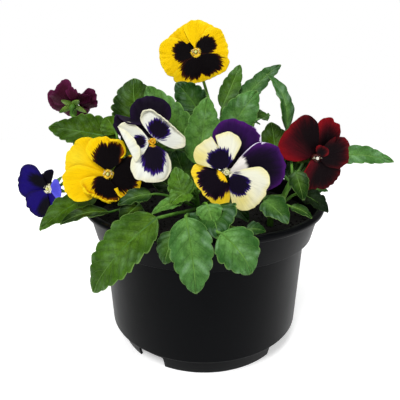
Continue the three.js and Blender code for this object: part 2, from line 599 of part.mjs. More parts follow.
// The pot: one moulded shell, with notches in its foot and drain holes in its base
function pot() {
  const outside = [
    [0, BASE_Z],
    [FOOT_TOP_RADIUS - WALL, BASE_Z],
    [FOOT_RADIUS - WALL, 0],
    [FOOT_RADIUS, 0],
    [FOOT_TOP_RADIUS, FOOT_TOP_Z],
    [BODY_BOTTOM_RADIUS, BODY_BOTTOM_Z],
    [BODY_TOP_RADIUS, BAND_BOTTOM_Z],
    [BAND_BOTTOM_RADIUS, BAND_BOTTOM_Z],
    [BAND_TOP_RADIUS, BAND_TOP_Z],
    [LIP_RADIUS - EDGE_ROUND, LIP_Z - LIP_ROUND],
    [LIP_RADIUS, LIP_Z],
    [LIP_RADIUS - EDGE_ROUND, POT_HEIGHT - EDGE_ROUND],
    [LIP_RADIUS - LIP_ROUND, POT_HEIGHT],
  ];
  let shell = solidOf(turned([...outside, ...INSIDE, [0, BASE_Z + WALL]]));
  for (let k = 0; k < NOTCH_COUNT; k++) {
    const middle = radians(FIRST_NOTCH_DEG + (360 / NOTCH_COUNT) * k);
    const half = radians(NOTCH_DEG / 2);
    const wedge = new THREE.Shape();
    wedge.absarc(0, 0, BODY_TOP_RADIUS, middle - half, middle + half);
    wedge.absarc(0, 0, FOOT_RADIUS - WALL - NOTCH_MARGIN, middle + half, middle - half, true);
    const notch = { depth: NOTCH_HEIGHT, curveSegments: 1, bevelEnabled: false };
    shell = shell.subtract(solidOf(new THREE.ExtrudeGeometry(wedge, notch)));
  }
  for (let k = 0; k < DRAIN_COUNT; k++) {
    const angle = (2 * Math.PI * k) / DRAIN_COUNT;
    const [x, y] = [DRAIN_RING_RADIUS * Math.cos(angle), DRAIN_RING_RADIUS * Math.sin(angle)];
    shell = shell.subtract(post(DRAIN_RADIUS, 2 * BASE_Z, DRAIN_SIDES, x, y, 0));
  }
  return shell;
}

// The soil: it fills the pot up to a lumpy top, with a plain hole for each stem
function soil() {
  const wall = INSIDE.slice(2).map(([r, z]) => [r - FIT_GAP, z + FIT_GAP]);
  const rim = [INSIDE[1][0] - FIT_GAP - SOIL_MARGIN, SOIL_Z];
  const top = [...SOIL_RINGS, 0].map((r) => [r, SOIL_Z]);
  const profile = [[0, wall.at(-1)[1]], ...wall.reverse(), rim, ...top];
  const lathe = turned(profile);
  const place = lathe.attributes.position;
  for (let k = 0; k < place.count; k++) {
    const [x, y, z] = [place.getX(k), place.getY(k), place.getZ(k)];
    const inside = z > SOIL_Z - FIT_GAP && Math.hypot(x, y) < rim[0] - SOIL_MARGIN;
    const lump = Math.sin(x / SOIL_LUMP + Math.sin(y / SOIL_LUMP)) * Math.cos(y / SOIL_LUMP);
    if (inside) place.setZ(k, z + SOIL_HEAP * lump);
  }
  let fill = solidOf(lathe);
  for (const [[x, y]] of Object.values(ROUTES)) {
    const radius = STEM_RADIUS + FIT_GAP;
    fill = fill.subtract(post(radius, ROOT_DEPTH + COLLAR, HOLE_SIDES, x, y, SOIL_Z - ROOT_DEPTH - FIT_GAP));
  }
  return fill;
}

const group = new THREE.Group();
group.add(meshOf("pot", pot(), "pot"));
group.add(meshOf("soil", soil(), "soil"));
for (const name of Object.keys(ROUTES)) {
  group.add(meshOf(`leafy_stem_${name}`, leafyStem(name), "leaf"));
}
for (const bloom of BLOOMS) {
  for (const body of new Set(bloom.petals.map((each) => each.body))) {
    const petals = bloom.petals.filter((each) => each.body === body);
    group.add(meshOf(body, petalsBody(bloom, petals), PETAL_FINISHES[body]));
  }
}

export default group;
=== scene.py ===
"""A potted pansy planter: a black nursery pot, its soil, and leafy stems that carry seven blooms.

Every size is in millimetres in the planter's own frame, +Z up, and each finished mesh is scaled to metres.
"""

import logging
import math
import random
from collections.abc import Callable, Sequence
from dataclasses import dataclass
from enum import Enum
from functools import cache

import bmesh
import bpy
from mathutils import Matrix, Vector, noise

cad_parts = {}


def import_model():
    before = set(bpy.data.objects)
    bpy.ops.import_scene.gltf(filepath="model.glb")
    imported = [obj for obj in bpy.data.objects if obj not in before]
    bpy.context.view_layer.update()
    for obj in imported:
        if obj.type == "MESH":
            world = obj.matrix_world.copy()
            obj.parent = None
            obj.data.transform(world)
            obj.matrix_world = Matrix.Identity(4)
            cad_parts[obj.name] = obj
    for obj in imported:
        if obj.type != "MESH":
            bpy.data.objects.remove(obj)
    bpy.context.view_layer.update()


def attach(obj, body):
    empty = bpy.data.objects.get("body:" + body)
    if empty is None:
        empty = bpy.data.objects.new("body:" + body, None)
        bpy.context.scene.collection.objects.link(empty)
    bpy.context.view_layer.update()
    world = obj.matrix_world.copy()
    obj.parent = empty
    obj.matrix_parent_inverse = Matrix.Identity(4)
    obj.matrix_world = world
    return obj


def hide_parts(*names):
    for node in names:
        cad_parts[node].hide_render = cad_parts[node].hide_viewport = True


LOG = logging.getLogger("planter")

MM = 0.001
BODY = "root"
SOIL_Z = 92

Point = tuple[float, float, float]
Spot = tuple[float, float]

# The petals' outlines, with the claw that they narrow to at the bloom's middle
PETAL_ROUND = 0.44
PETAL_SPREAD = 0.8
PETAL_MIDDLE = 0.55
CLAW_START = 1.9
CLAW_SHARE = 0.42
CLAW_END = 0.5
RAGGED_RIM = 0.03
RAGGED_SIDE = 0.035
FRILLED_RIM = 0.06
SLIT_DEPTH = 9
SLIT_WIDTH = 0.06
SEED_STEP = 0.37

# The petals' relief: broad ruffles, fine crinkles and pleats, and frills at the rim
RUFFLE_COUNT = 5
RUFFLE_HEIGHT = 0.7
CRINKLE_SCALE = 0.35
CRINKLE_HEIGHT = 0.5
FRILL_HEIGHT = 3.2
PLEATS = 38
PLEAT_HEIGHT = 0.07
LAYER_PITCH = 1.3

# The petals' marks, in millimetres, and in degrees for a hem, a roll and a fold. The mark along a fold's or a
# roll's crease is painted shade, and on the night petals a painted highlight
WASH_RADIUS = 7
HEM_FADE = 4
ROLL_FADE = 15
CREASE_SHADE_WIDTH = 0.9
SHARPEST_FOLD = 120
NO_BLOTCH = 9.0
NO_HEM = (0, -90)


class Layer(Enum):
    """How far forward a petal grows from its bloom's middle, in steps of the layers' pitch."""

    BACK = 0
    UPPER = 1
    LIP = 2
    LATERAL = 3


class Sum(Enum):
    """The sums that a material can work out, by their nodes' own names."""

    PLUS = "ADD"
    MINUS = "SUBTRACT"
    TIMES = "MULTIPLY"
    OVER = "DIVIDE"
    SIZE = "ABSOLUTE"
    LARGER = "MAXIMUM"
    SWING = "PINGPONG"


BACK, UPPER, LIP, LATERAL = Layer
FRONT = LATERAL.value * LAYER_PITCH


def linear(code: str) -> tuple[float, float, float, float]:
    """Turns a hex colour into linear red, green and blue, with an alpha of one."""
    values = [int(code[k : k + 2], 16) / 255 for k in (0, 2, 4)]
    return (*[v / 12.92 if v <= 0.04045 else ((v + 0.055) / 1.055) ** 2.4 for v in values], 1.0)


def smooth_step(value: float, low: float, high: float) -> float:
    """Eases from 0 at low to 1 at high."""
    share = min(1.0, max(0.0, (value - low) / (high - low)))
    return share * share * (3 - 2 * share)


@dataclass(frozen=True)
class Term:
    """A value that a material works out at each point, written in sums like a number."""

    sketch: "Sketch"
    socket: bpy.types.NodeSocket

    def __add__(self, other: "Value") -> "Term":
        """Adds a value."""
        return self.sketch.math(Sum.PLUS, self, other)

    def __sub__(self, other: "Value") -> "Term":
        """Takes a value away."""
        return self.sketch.math(Sum.MINUS, self, other)

    def __rsub__(self, other: float) -> "Term":
        """Is taken away from a number."""
        return self.sketch.math(Sum.MINUS, other, self)

    def __mul__(self, other: "Value") -> "Term":
        """Multiplies by a value."""
        return self.sketch.math(Sum.TIMES, self, other)

    def __truediv__(self, other: "Value") -> "Term":
        """Divides by a value."""
        return self.sketch.math(Sum.OVER, self, other)

    def __abs__(self) -> "Term":
        """Drops the sign."""
        return self.sketch.math(Sum.SIZE, self)


Value = float | Term
Tone = str | Term


class Sketch:
    """A material's node tree, with short calls that add its nodes and link them."""

    def __init__(self, name: str) -> None:
        """Starts a material that holds one Principled shader.

        Args:
            name: the material's name.
        """
        self.material = bpy.data.materials.new(name)
        self.material.use_nodes = True
        self.tree = self.material.node_tree
        self.shader = next(node for node in self.tree.nodes if node.type == "BSDF_PRINCIPLED")

    def feed(self, socket: bpy.types.NodeSocket, value: object) -> None:
        """Feeds a socket.

        Args:
            socket: the socket.
            value: a term that is linked to it, or a hex colour or a number that is set on it.
        """
        if isinstance(value, Term):
            self.tree.links.new(value.socket, socket)
        else:
            socket.default_value = linear(value) if isinstance(value, str) else value

    def term(self, kind: str, output: int | str, inputs: dict[int | str, object], **settings: object) -> Term:
        """Adds a node and gives one of its outputs.

        Args:
            kind: the node's type.
            output: the output's name or number.
            inputs: what its sockets are fed, by their names or numbers.
            settings: what else is set on it.

        Returns:
            The output.
        """
        node = self.tree.nodes.new(kind)
        for name, value in settings.items():
            setattr(node, name, value)
        for key, value in inputs.items():
            self.feed(node.inputs[key], value)
        return Term(self, node.outputs[output])

    def set(self, **values: object) -> None:
        """Feeds the shader's sockets, with underscores for the spaces in their names."""
        for name, value in values.items():
            self.feed(self.shader.inputs[name.replace("_", " ")], value)

    def math(self, kind: Sum, first: Value, second: Value = 0.0) -> Term:
        """Works out one sum of two values."""
        return self.term("ShaderNodeMath", 0, {0: first, 1: second}, operation=kind.value)

    def span(self, value: Value, low: Value, high: Value) -> Term:
        """Maps a value from low to high onto 0 to 1, eased at both ends."""
        inputs = {"Value": value, "From Min": low, "From Max": high}
        return self.term("ShaderNodeMapRange", "Result", inputs, interpolation_type="SMOOTHSTEP")

    def fade(self, value: Value, low: Value, high: Value) -> Term:
        """Maps a value from low to high onto 1 to 0, eased at both ends."""
        return 1.0 - self.span(value, low, high)

    def mix(self, share: Value, low: Tone, high: Tone) -> Term:
        """Mixes two colours."""
        return self.term("ShaderNodeMix", 2, {0: share, 6: low, 7: high}, data_type="RGBA")

    def coats(self, ground: Tone, layers: list[tuple[Value, Tone]]) -> Tone:
        """Lays colours over a ground, one after another.

        Args:
            ground: the lowest colour.
            layers: for each of the others, the share that it covers and the colour.

        Returns:
            The colour that shows.
        """
        for share, tone in layers:
            ground = self.mix(share, ground, tone)
        return ground

    def noise(self, vector: Term, scale: float, detail: float = 2, rough: float = 0.5) -> Term:
        """Gives a noise pattern at a place."""
        inputs = {"Vector": vector, "Scale": scale, "Detail": detail, "Roughness": rough}
        return self.term("ShaderNodeTexNoise", "Fac", inputs)

    def cells(self, vector: Term, scale: float) -> Term:
        """Gives the distance to the borders between scattered cells."""
        inputs = {"Vector": vector, "Scale": scale}
        return self.term("ShaderNodeTexVoronoi", "Distance", inputs, feature="DISTANCE_TO_EDGE")

    def join(self, x: Value, y: Value, z: Value) -> Term:
        """Joins three values in a vector."""
        return self.term("ShaderNodeCombineXYZ", 0, {0: x, 1: y, 2: z})

    def split(self, name: str) -> list[Term]:
        """Reads a vector that the mesh carries at its vertices.

        Args:
            name: the attribute's name.

        Returns:
            Its three values.
        """
        vector = self.term("ShaderNodeAttribute", "Vector", {}, attribute_name=name)
        parts = self.term("ShaderNodeSeparateXYZ", 0, {0: vector}).socket.node
        return [Term(self, socket) for socket in parts.outputs]

    def place(self) -> Term:
        """Gives the point's place in the object's own coordinates, in metres."""
        return self.term("ShaderNodeTexCoord", "Object", {})

    def bump(self, height: Term, strength: float, depth: float) -> None:
        """Raises fine relief, with the strength that shows and the depth of a 1 in millimetres."""
        inputs = {"Strength": strength, "Distance": depth * MM, "Height": height}
        self.set(Normal=self.term("ShaderNodeBump", 0, inputs))


@dataclass(frozen=True)
class MouldedPlastic:
    """The pot's black plastic, with a faint grain, and dust that dulls it in specks and patches."""

    colour: str = "050608"
    dust: str = "1e2022"
    grain_scale: float = 900
    speck_scale: float = 420
    patch_scale: float = 28

    def dress(self) -> bpy.types.Material:
        """Makes the material.

        Returns:
            The material.
        """
        sketch = Sketch("black_plastic")
        place = sketch.place()
        grain = sketch.noise(place, self.grain_scale, 3)
        patches = sketch.noise(place, self.patch_scale, 4, 0.6)
        specks = sketch.span(sketch.noise(place, self.speck_scale), 0.66, 0.74)
        dusty = specks * sketch.span(patches, 0.45, 0.75)
        sketch.set(
            Base_Color=sketch.mix(dusty * 0.5, self.colour, self.dust),
            Roughness=patches * 0.16 + 0.3,
            Specular_IOR_Level=0.04,
            IOR=1.49,
        )
        sketch.bump(grain + patches * 2, 0.25, 0.08)
        return sketch.material


@dataclass(frozen=True)
class PottingSoil:
    """Dark peat with paler fibres."""

    dark: str = "070503"
    pale: str = "1f1610"
    clod_scale: float = 160
    fibre_scale: float = 700

    def dress(self) -> bpy.types.Material:
        """Makes the material.

        Returns:
            The material.
        """
        sketch = Sketch("potting_soil")
        place = sketch.place()
        clods = sketch.noise(place, self.clod_scale, 5, 0.7)
        fibres = sketch.span(sketch.noise(place, self.fibre_scale, 4, 0.7), 0.52, 0.7)
        peat = sketch.mix(clods * fibres, self.dark, self.pale)
        sketch.set(Base_Color=peat, Roughness=0.95, Specular_IOR_Level=0.2)
        sketch.bump(clods + fibres, 0.9, 0.5)
        return sketch.material


@dataclass(frozen=True)
class LeafSurface:
    """One side of a leaf's blade: green tissue between a midrib and side veins.

    The mesh carries its place on the blade (distance from the midrib, count of side veins, share of length),
    the blade's width and how near the point is to its rim, and the leaf's own tones (how fresh, how olive).
    The freshness tone also carries painted shade: the low values listed for leaves in the clump's shade
    darken them, and values below -0.5 mix in the painted shade colour. The grooves along the side veins get
    painted shade, and the crests between them a painted highlight.
    """

    name: str
    deep: str
    fresh: str
    heart: str
    olive_deep: str
    olive_fresh: str
    olive_heart: str
    vein: str
    # The colour of the painted highlight on the crests between side veins
    painted_highlight: str
    roughness: float
    relief: float
    contrast: float = 0.34
    # Painted shade: the colour that leaves listed with a tint below -0.5 are darkened towards
    painted_shade: str = "050c02"
    midrib_half: float = 0.75
    midrib_taper: float = 0.5
    side_vein: float = 0.075
    side_vein_taper: float = 0.09
    valley: float = 0.24
    net_scale: float = 560

    def dress(self) -> bpy.types.Material:
        """Makes the material.

        Returns:
            The material.
        """
        sketch = Sketch(self.name)
        place = sketch.place()
        across, count, share = sketch.split("blade")
        width, reach, _ = sketch.split("form")
        tint_and_shade, olive, _ = sketch.split("tones")
        off = abs(across)
        wander = sketch.noise(place, 260)
        blush = sketch.noise(place, 55, 3)
        rib = sketch.fade(off, 0.1, self.midrib_half - share * self.midrib_taper)
        to_vein = sketch.math(Sum.SWING, count + wander * 0.12, 0.5)
        side = sketch.fade(to_vein, 0.0, self.side_vein - off / width * self.side_vein_taper)
        veins = sketch.math(Sum.LARGER, rib, side * 0.32)
        valley = sketch.fade(to_vein, 0.0, self.valley)
        net = sketch.fade(sketch.cells(place, self.net_scale), 0.0, 0.16)
        near_heart = sketch.fade(off, 0.0, width * 0.42) * sketch.fade(share, 0.25, 0.95)
        # Darker in random patches
        dark_patches = sketch.span(sketch.noise(place, 210, 3, 0.6), 0.46, 0.66)
        # A painted highlight, in patches, on the crests between the side veins
        crest = sketch.span(to_vein, 0.15, 0.5) * 0.65 + 0.35
        highlight_share = crest * sketch.span(sketch.noise(place, 110), 0.45, 0.65)
        deep = sketch.mix(olive, self.deep, self.olive_deep)
        fresh = sketch.mix(olive, self.fresh, self.olive_fresh)
        colour = sketch.coats(deep, [
            # Deep or fresh at random, and darker where a low listed tint paints shade
            (sketch.span(blush + tint_and_shade, 0.45, 1.35), fresh),
            (near_heart * 0.55, sketch.mix(olive, self.heart, self.olive_heart)),
            (dark_patches * 0.42, deep),
            (highlight_share * (0.24 - olive * 0.16), self.painted_highlight),
            # Painted shade in the grooves along the side veins
            (valley * 0.22, deep),
            (net * 0.16, deep),
            (sketch.span(reach, 0.94, 1.0) * 0.35, self.vein),
            (veins * self.contrast, self.vein),
            # Painted shade on leaves in the clump's shade, from a tint below -0.5
            (0.9 - sketch.span(tint_and_shade, -1.0, -0.5) * 0.9, self.painted_shade),
        ])
        sketch.set(Base_Color=colour, Roughness=blush * 0.12 + self.roughness, Specular_IOR_Level=0.05)
        sunk = net * 0.35 + sketch.math(Sum.LARGER, veins, valley) * 0.5
        sketch.bump(wander * 0.3 - sunk, self.relief, 0.5)
        return sketch.material


@dataclass(frozen=True)
class PlantSkin:
    """A soft skin of two close colours, for the hairs and the middle of a bloom."""

    name: str
    low: str
    high: str
    patch_scale: float = 900
    patch_detail: float = 2
    patch_spread: float = 0.15
    grain_scale: float = 900
    grain_depth: float = 0.1
    shine: float = 0.35

    def dress(self) -> bpy.types.Material:
        """Makes the material.

        Returns:
            The material.
        """
        sketch = Sketch(self.name)
        place = sketch.place()
        patches = sketch.noise(place, self.patch_scale, self.patch_detail)
        mottled = sketch.span(patches, 0.5 - self.patch_spread, 0.5 + self.patch_spread)
        colour = sketch.mix(mottled, self.low, self.high)
        sketch.set(Base_Color=colour, Roughness=0.5, Specular_IOR_Level=self.shine)
        sketch.bump(sketch.noise(place, self.grain_scale), 0.3, self.grain_depth)
        return sketch.material


@dataclass(frozen=True)
class StemSkin(PlantSkin):
    """The green skin of stems, leaf stalks and sepals, in broader patches."""

    patch_scale: float = 90
    patch_detail: float = 3
    patch_spread: float = 0.2
    grain_scale: float = 700
    grain_depth: float = 0.2
    shine: float = 0.22


@dataclass(frozen=True)
class PetalVelvet:
    """A petal's skin: a ground that changes towards the rim, a ragged dark blotch, and a bright eye.

    The slot is the record's. The mesh carries its marks (the blotch, the distance to the rim, the eye), its
    fan (angle, radius, seed) and its trim (where the rim is hemmed, the painted shade along a crease, a
    washed patch).
    """

    name: str
    slot: str
    ground: str
    rim: str
    blotch: str
    feather: str
    eye: str
    # The colour painted along a crease: painted shade, and on the night petals a painted highlight
    crease: str
    wash: str = ""
    hem: str = ""
    rim_width: float = 5.0
    ragged: float = 0.55
    soft: float = 0.05
    fringe: float = 0.16
    mottle: float = 0.12
    sheen: float = 0.03
    broad_rays: float = 11
    fine_rays: float = 34
    ray_length: float = 0.09

    def dress(self) -> bpy.types.Material:
        """Makes the material.

        Returns:
            The material.
        """
        sketch = Sketch(self.name)
        blotch, edge, eye = sketch.split("marks")
        angle, radius, seed = sketch.split("fan")
        hemmed, crease, washed = sketch.split("trim")
        rays, fine = (
            sketch.noise(sketch.join(angle * count, radius * self.ray_length, seed), 1.0)
            for count in (self.broad_rays, self.fine_rays)
        )
        cloud = sketch.noise(sketch.place(), 120, 3)
        layers = [(sketch.fade(edge + rays * 2, 1.0, 1.0 + self.rim_width), self.rim)]
        if self.wash:
            layers.append((washed * 0.85, self.wash))
        layers.append((sketch.span(cloud + fine, 0.8, 1.25) * self.mottle, self.feather))
        if self.hem:
            torn = edge - sketch.span(rays, 0.35, 0.7) * 1.6
            layers.append((sketch.fade(torn, 0.0, 0.35) * hemmed, self.hem))
        jag = (rays + fine - 1.0) * self.ragged
        core = 1.0 - self.fringe
        layers += [
            (sketch.fade(blotch + jag, 1.0 - self.soft, 1.0 + self.soft), self.feather),
            (sketch.fade(blotch + jag, core - self.soft, core + self.soft * 2), self.blotch),
            (sketch.fade(eye + jag * 0.7, 0.95, 1.15), self.eye),
            # Painted shade along folds and rolls, a painted highlight on the night petals
            (crease * 0.6, self.crease),
        ]
        sketch.set(
            Base_Color=sketch.coats(self.ground, layers),
            Roughness=0.6,
            Specular_IOR_Level=0.06,
            Sheen_Weight=self.sheen,
            Sheen_Roughness=0.35,
            Sheen_Tint=self.rim,
        )
        sketch.bump(fine * 0.7 + cloud * 0.6, 0.45, 0.5)
        return sketch.material


Finish = MouldedPlastic | PottingSoil | LeafSurface | PlantSkin | PetalVelvet


@cache
def material_for(finish: Finish) -> bpy.types.Material:
    """Gives a finish's material, which is made the first time that it is asked for."""
    return finish.dress()


# The highlight colours below are painted highlights on the vein crests
LEAF_TOP = LeafSurface(
    "leaf_top", deep="16400e", fresh="649c50", heart="72a450",
    olive_deep="102602", olive_fresh="48700a", olive_heart="587c0c",
    vein="94bc64", painted_highlight="a2c2a6", roughness=0.36, relief=0.8,
)
LEAF_BACK = LeafSurface(
    "leaf_back", deep="3f6a2a", fresh="6f9a4a", heart="7fa552",
    olive_deep="3c5a1c", olive_fresh="64863a", olive_heart="749440",
    vein="a9c486", painted_highlight="a9c486", roughness=0.6, relief=0.5,
)
# Each crease colour below is painted shade along folds and rolls, except the night petals' painted highlight
YELLOW = PetalVelvet(
    "yellow_petal", "petal_yellow", ground="f2c600", rim="f2ce14", blotch="060204", feather="3c1402",
    eye="eec62a", crease="b86404", wash="e8ce26", rim_width=4,
)
YELLOW_LIP = PetalVelvet(
    "yellow_lip_petal", "petal_yellow", ground="f6cf1a", rim="f3d23a", blotch="0c0410", feather="2a0a26",
    eye="f6c61a", crease="b86404",
)
WHITE = PetalVelvet(
    "white_petal", "petal_white", ground="e2e4d8", rim="e4e2c4", blotch="0d0618", feather="2b1266",
    eye="eab716", crease="8e8e84", fringe=0.22, ragged=0.7,
)
CREAM = PetalVelvet(
    "cream_petal", "petal_cream", ground="e0dfca", rim="e2dca6", blotch="0c051a", feather="24105a",
    eye="ece6c4", crease="8c8a70", wash="e0d270", fringe=0.18, ragged=0.65,
)
PURPLE = PetalVelvet(
    "purple_petal", "petal_purple", ground="2a0a44", rim="451462", blotch="0d0516", feather="200834",
    eye="ece6e0", crease="12061e", hem="d9cfe6", soft=0.3, ragged=0.4, mottle=0.5, sheen=0.12,
)
# The night petals' crease colour is lighter than their ground: a painted highlight along their fold
NIGHT = PetalVelvet(
    "night_petal", "petal_night", ground="0e0616", rim="180a26", blotch="06030b", feather="0b0512",
    eye="180a26", crease="40345a", soft=0.3, sheen=0.05,
)
RED = PetalVelvet(
    "red_petal", "petal_red", ground="500814", rim="800a14", blotch="0c0306", feather="30060c",
    eye="2a0608", crease="1a0306", soft=0.5, sheen=0.05, rim_width=9,
)
BURGUNDY = PetalVelvet(
    "burgundy_petal", "petal_burgundy", ground="3a0a20", rim="54163a", blotch="1d0812", feather="260814",
    eye="4a142c", crease="1d0812", soft=0.3, sheen=0.08,
)
BLUE = PetalVelvet(
    "blue_petal", "petal_blue", ground="160962", rim="140a48", blotch="06040e", feather="120846",
    eye="e4e0c0", crease="120846", soft=0.25, sheen=0.05,
)
PALE_BLUE = PetalVelvet(
    "pale_blue_petal", "petal_blue", ground="4a48c4", rim="5c5ad8", blotch="0c0838", feather="241c84",
    eye="ece8c8", crease="241c84", soft=0.25,
)
GREEN_SKIN = StemSkin("stem_green", "2c5514", "5f8f30")
SEPAL_SKIN = StemSkin("sepal_green", "48701e", "7c9c3c")
STYLE_GREEN = PlantSkin("style_green", "b7bf4e", "dfe08a")
YELLOW_THROAT = PlantSkin("throat_yellow", "d9a81a", "f2cc4a")
CREAM_BEARD = PlantSkin("beard_cream", "dcdcb8", "f6f3d6")
DARK_THROAT = PlantSkin("throat_dark", "2a0a0c", "5a1c10")
PALE_THROAT = PlantSkin("throat_pale", "d8d29a", "f0ecc8")


def hang(name: str, data: bpy.types.ID) -> bpy.types.Object:
    """Puts a mesh, a light or a camera in the scene.

    Args:
        name: the object's name.
        data: what it holds.

    Returns:
        The object.
    """
    made = bpy.data.objects.new(name, data)
    bpy.context.scene.collection.objects.link(made)
    return made


def settle(name: str, mesh: bmesh.types.BMesh) -> bpy.types.Mesh:
    """Turns a mesh in the making, in millimetres, into one in metres, and frees it.

    Args:
        name: the new mesh's name.
        mesh: the mesh in the making.

    Returns:
        The new mesh.
    """
    bmesh.ops.scale(mesh, vec=(MM, MM, MM), verts=mesh.verts)
    data = bpy.data.meshes.new(name)
    mesh.to_mesh(data)
    mesh.free()
    return data


class Sculpture:
    """A mesh in the making, in millimetres, with what turns it into a piece of the planter."""

    def __init__(self, name: str, attributes: tuple[str, ...] = ()) -> None:
        """Starts an empty mesh.

        Args:
            name: the finished piece's name.
            attributes: the vectors that its vertices carry for its material.
        """
        self.name = name
        self.mesh = bmesh.new()
        self.layers = [self.mesh.verts.layers.float_vector.new(each) for each in attributes]

    def tube(self, path: list[Vector], radii: Sequence[float], sides: int) -> None:
        """Extrudes a ring of edges along a path and closes both ends.

        Args:
            path: the points of its middle line.
            radii: its radius at each of them.
            sides: how many sides it has.
        """
        ring = bmesh.ops.create_circle(self.mesh, segments=sides, radius=1.0)["verts"]
        edges = list({edge for vert in ring for edge in vert.link_edges})
        ends = [list(edges)]
        frames = tube_frames(path, radii)
        bmesh.ops.transform(self.mesh, matrix=frames[0], verts=ring)
        for before, after in zip(frames, frames[1:]):
            made = bmesh.ops.extrude_edge_only(self.mesh, edges=edges)["geom"]
            ring = [each for each in made if isinstance(each, bmesh.types.BMVert)]
            edges = [each for each in made if isinstance(each, bmesh.types.BMEdge)]
            edges = [edge for edge in edges if all(vert in ring for vert in edge.verts)]
            bmesh.ops.transform(self.mesh, matrix=after @ before.inverted(), verts=ring)
        ends.append(edges)
        for end in ends:
            bmesh.ops.holes_fill(self.mesh, edges=end, sides=sides)

    def lathe(self, profile: list[Spot], steps: int) -> None:
        """Spins an outline of radii and heights about the upright axis.

        Args:
            profile: its corners, each a radius and a height. It starts and ends on the axis, or closes.
            steps: how many sides the turned shape has.
        """
        verts = [self.mesh.verts.new((radius, 0, height)) for radius, height in profile]
        pairs = list(zip(verts, verts[1:]))
        if profile[0][0] > 0:
            pairs.append((verts[-1], verts[0]))
        edges = [self.mesh.edges.new(pair) for pair in pairs]
        bmesh.ops.spin(
            self.mesh, geom=verts + edges, axis=(0, 0, 1), cent=(0, 0, 0),
            angle=math.tau, steps=steps, use_merge=True,
        )
        bmesh.ops.remove_doubles(self.mesh, verts=self.mesh.verts, dist=0.01)

    def grid(
        self, columns: int, rows: int, place: Callable[[float, float], tuple], frame: Matrix | None = None,
    ) -> None:
        """Adds a grid and moves each of its points to its place.

        Args:
            columns: how many cells it has across.
            rows: how many it has along.
            place: takes where a point lies across and along, each from -1 to 1, and gives its place and
                then the vectors that it carries.
            frame: what the places are turned and moved by.
        """
        for vert in bmesh.ops.create_grid(self.mesh, x_segments=columns, y_segments=rows, size=1)["verts"]:
            point, *carried = place(vert.co.x, vert.co.y)
            vert.co = point if frame is None else frame @ point
            for layer, vector in zip(self.layers, carried):
                vert[layer] = vector

    def finish(self, slot: str, nodes: list[str], skins: list[Finish], thick: float = 0) -> bpy.types.Object:
        """Turns the mesh into a piece that rides with the planter.

        Args:
            slot: the record's material slot, which is not used.
            nodes: the solid nodes that the piece stands for.
            skins: its finishes. The second, where there is one, is for the back of a thickened sheet.
            thick: the thickness that a sheet gets, in millimetres.

        Returns:
            The finished object.
        """
        if not thick:
            bmesh.ops.recalc_face_normals(self.mesh, faces=self.mesh.faces)
        data = settle(self.name, self.mesh)
        data.polygons.foreach_set("use_smooth", [True] * len(data.polygons))
        for skin in skins:
            data.materials.append(material_for(skin))
        piece = hang(self.name, data)
        if thick:
            solid = piece.modifiers.new("thickness", "SOLIDIFY")
            solid.thickness = thick * MM
            solid.offset = 0
            solid.material_offset = len(skins) - 1
        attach(piece, BODY)
        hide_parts(*nodes)
        LOG.info("%s: %d faces, for %s", self.name, len(data.polygons), ", ".join(nodes))
        return piece


def tube_frames(path: list[Vector], radii: Sequence[float]) -> list[Matrix]:
    """Gives the place, turn and size of a ring at each point of a path, with no twist between them.

    Args:
        path: the points.
        radii: the ring's radius at each.

    Returns:
        A matrix for each point, which takes a unit circle to the ring.
    """
    ways = []
    for k in range(len(path)):
        ways.append((path[min(k + 1, len(path) - 1)] - path[max(k - 1, 0)]).normalized())
    side = ways[0].orthogonal().normalized()
    frames = []
    for point, way, radius in zip(path, ways, radii):
        side = (side - way * side.dot(way)).normalized()
        other = way.cross(side)
        turn = Matrix((side, other, way)).transposed().to_4x4()
        frames.append(Matrix.Translation(point) @ turn @ Matrix.Scale(radius, 4))
    return frames


def smooth_line(points: list[Vector], steps: int) -> list[Vector]:
    """Draws a smooth line through points, with more bend where they lie further apart.

    Args:
        points: what the line passes through.
        steps: how many steps it has from each point to the next.

    Returns:
        The line's points.
    """
    ends = [2 * points[0] - points[1], *points, 2 * points[-1] - points[-2]]
    line = []
    for p0, p1, p2, p3 in zip(ends, ends[1:], ends[2:], ends[3:]):
        d0, d1, d2 = ((b - a).length ** 0.5 for a, b in ((p0, p1), (p1, p2), (p2, p3)))
        leave = ((p1 - p0) / d0 - (p2 - p0) / (d0 + d1) + (p2 - p1) / d1) * d1
        arrive = ((p2 - p1) / d1 - (p3 - p1) / (d1 + d2) + (p3 - p2) / d2) * d1
        for k in range(steps):
            t = k / steps
            early = (3 * (p2 - p1) - 2 * leave - arrive) * t**2
            line.append(p1 + leave * t + early + (2 * (p1 - p2) + leave + arrive) * t**3)
    return [*line, points[-1].copy()]


def along_line(line: list[Vector], share: float) -> Vector:
    """Finds the point at a share of a line's length.

    Args:
        line: the line's points.
        share: 0 at its start and 1 at its end.

    Returns:
        The point.
    """
    lengths = [(b - a).length for a, b in zip(line, line[1:])]
    left = share * sum(lengths)
    for a, b, length in zip(line, line[1:], lengths):
        if left <= length:
            return a.lerp(b, left / length)
        left -= length
    return line[-1].copy()


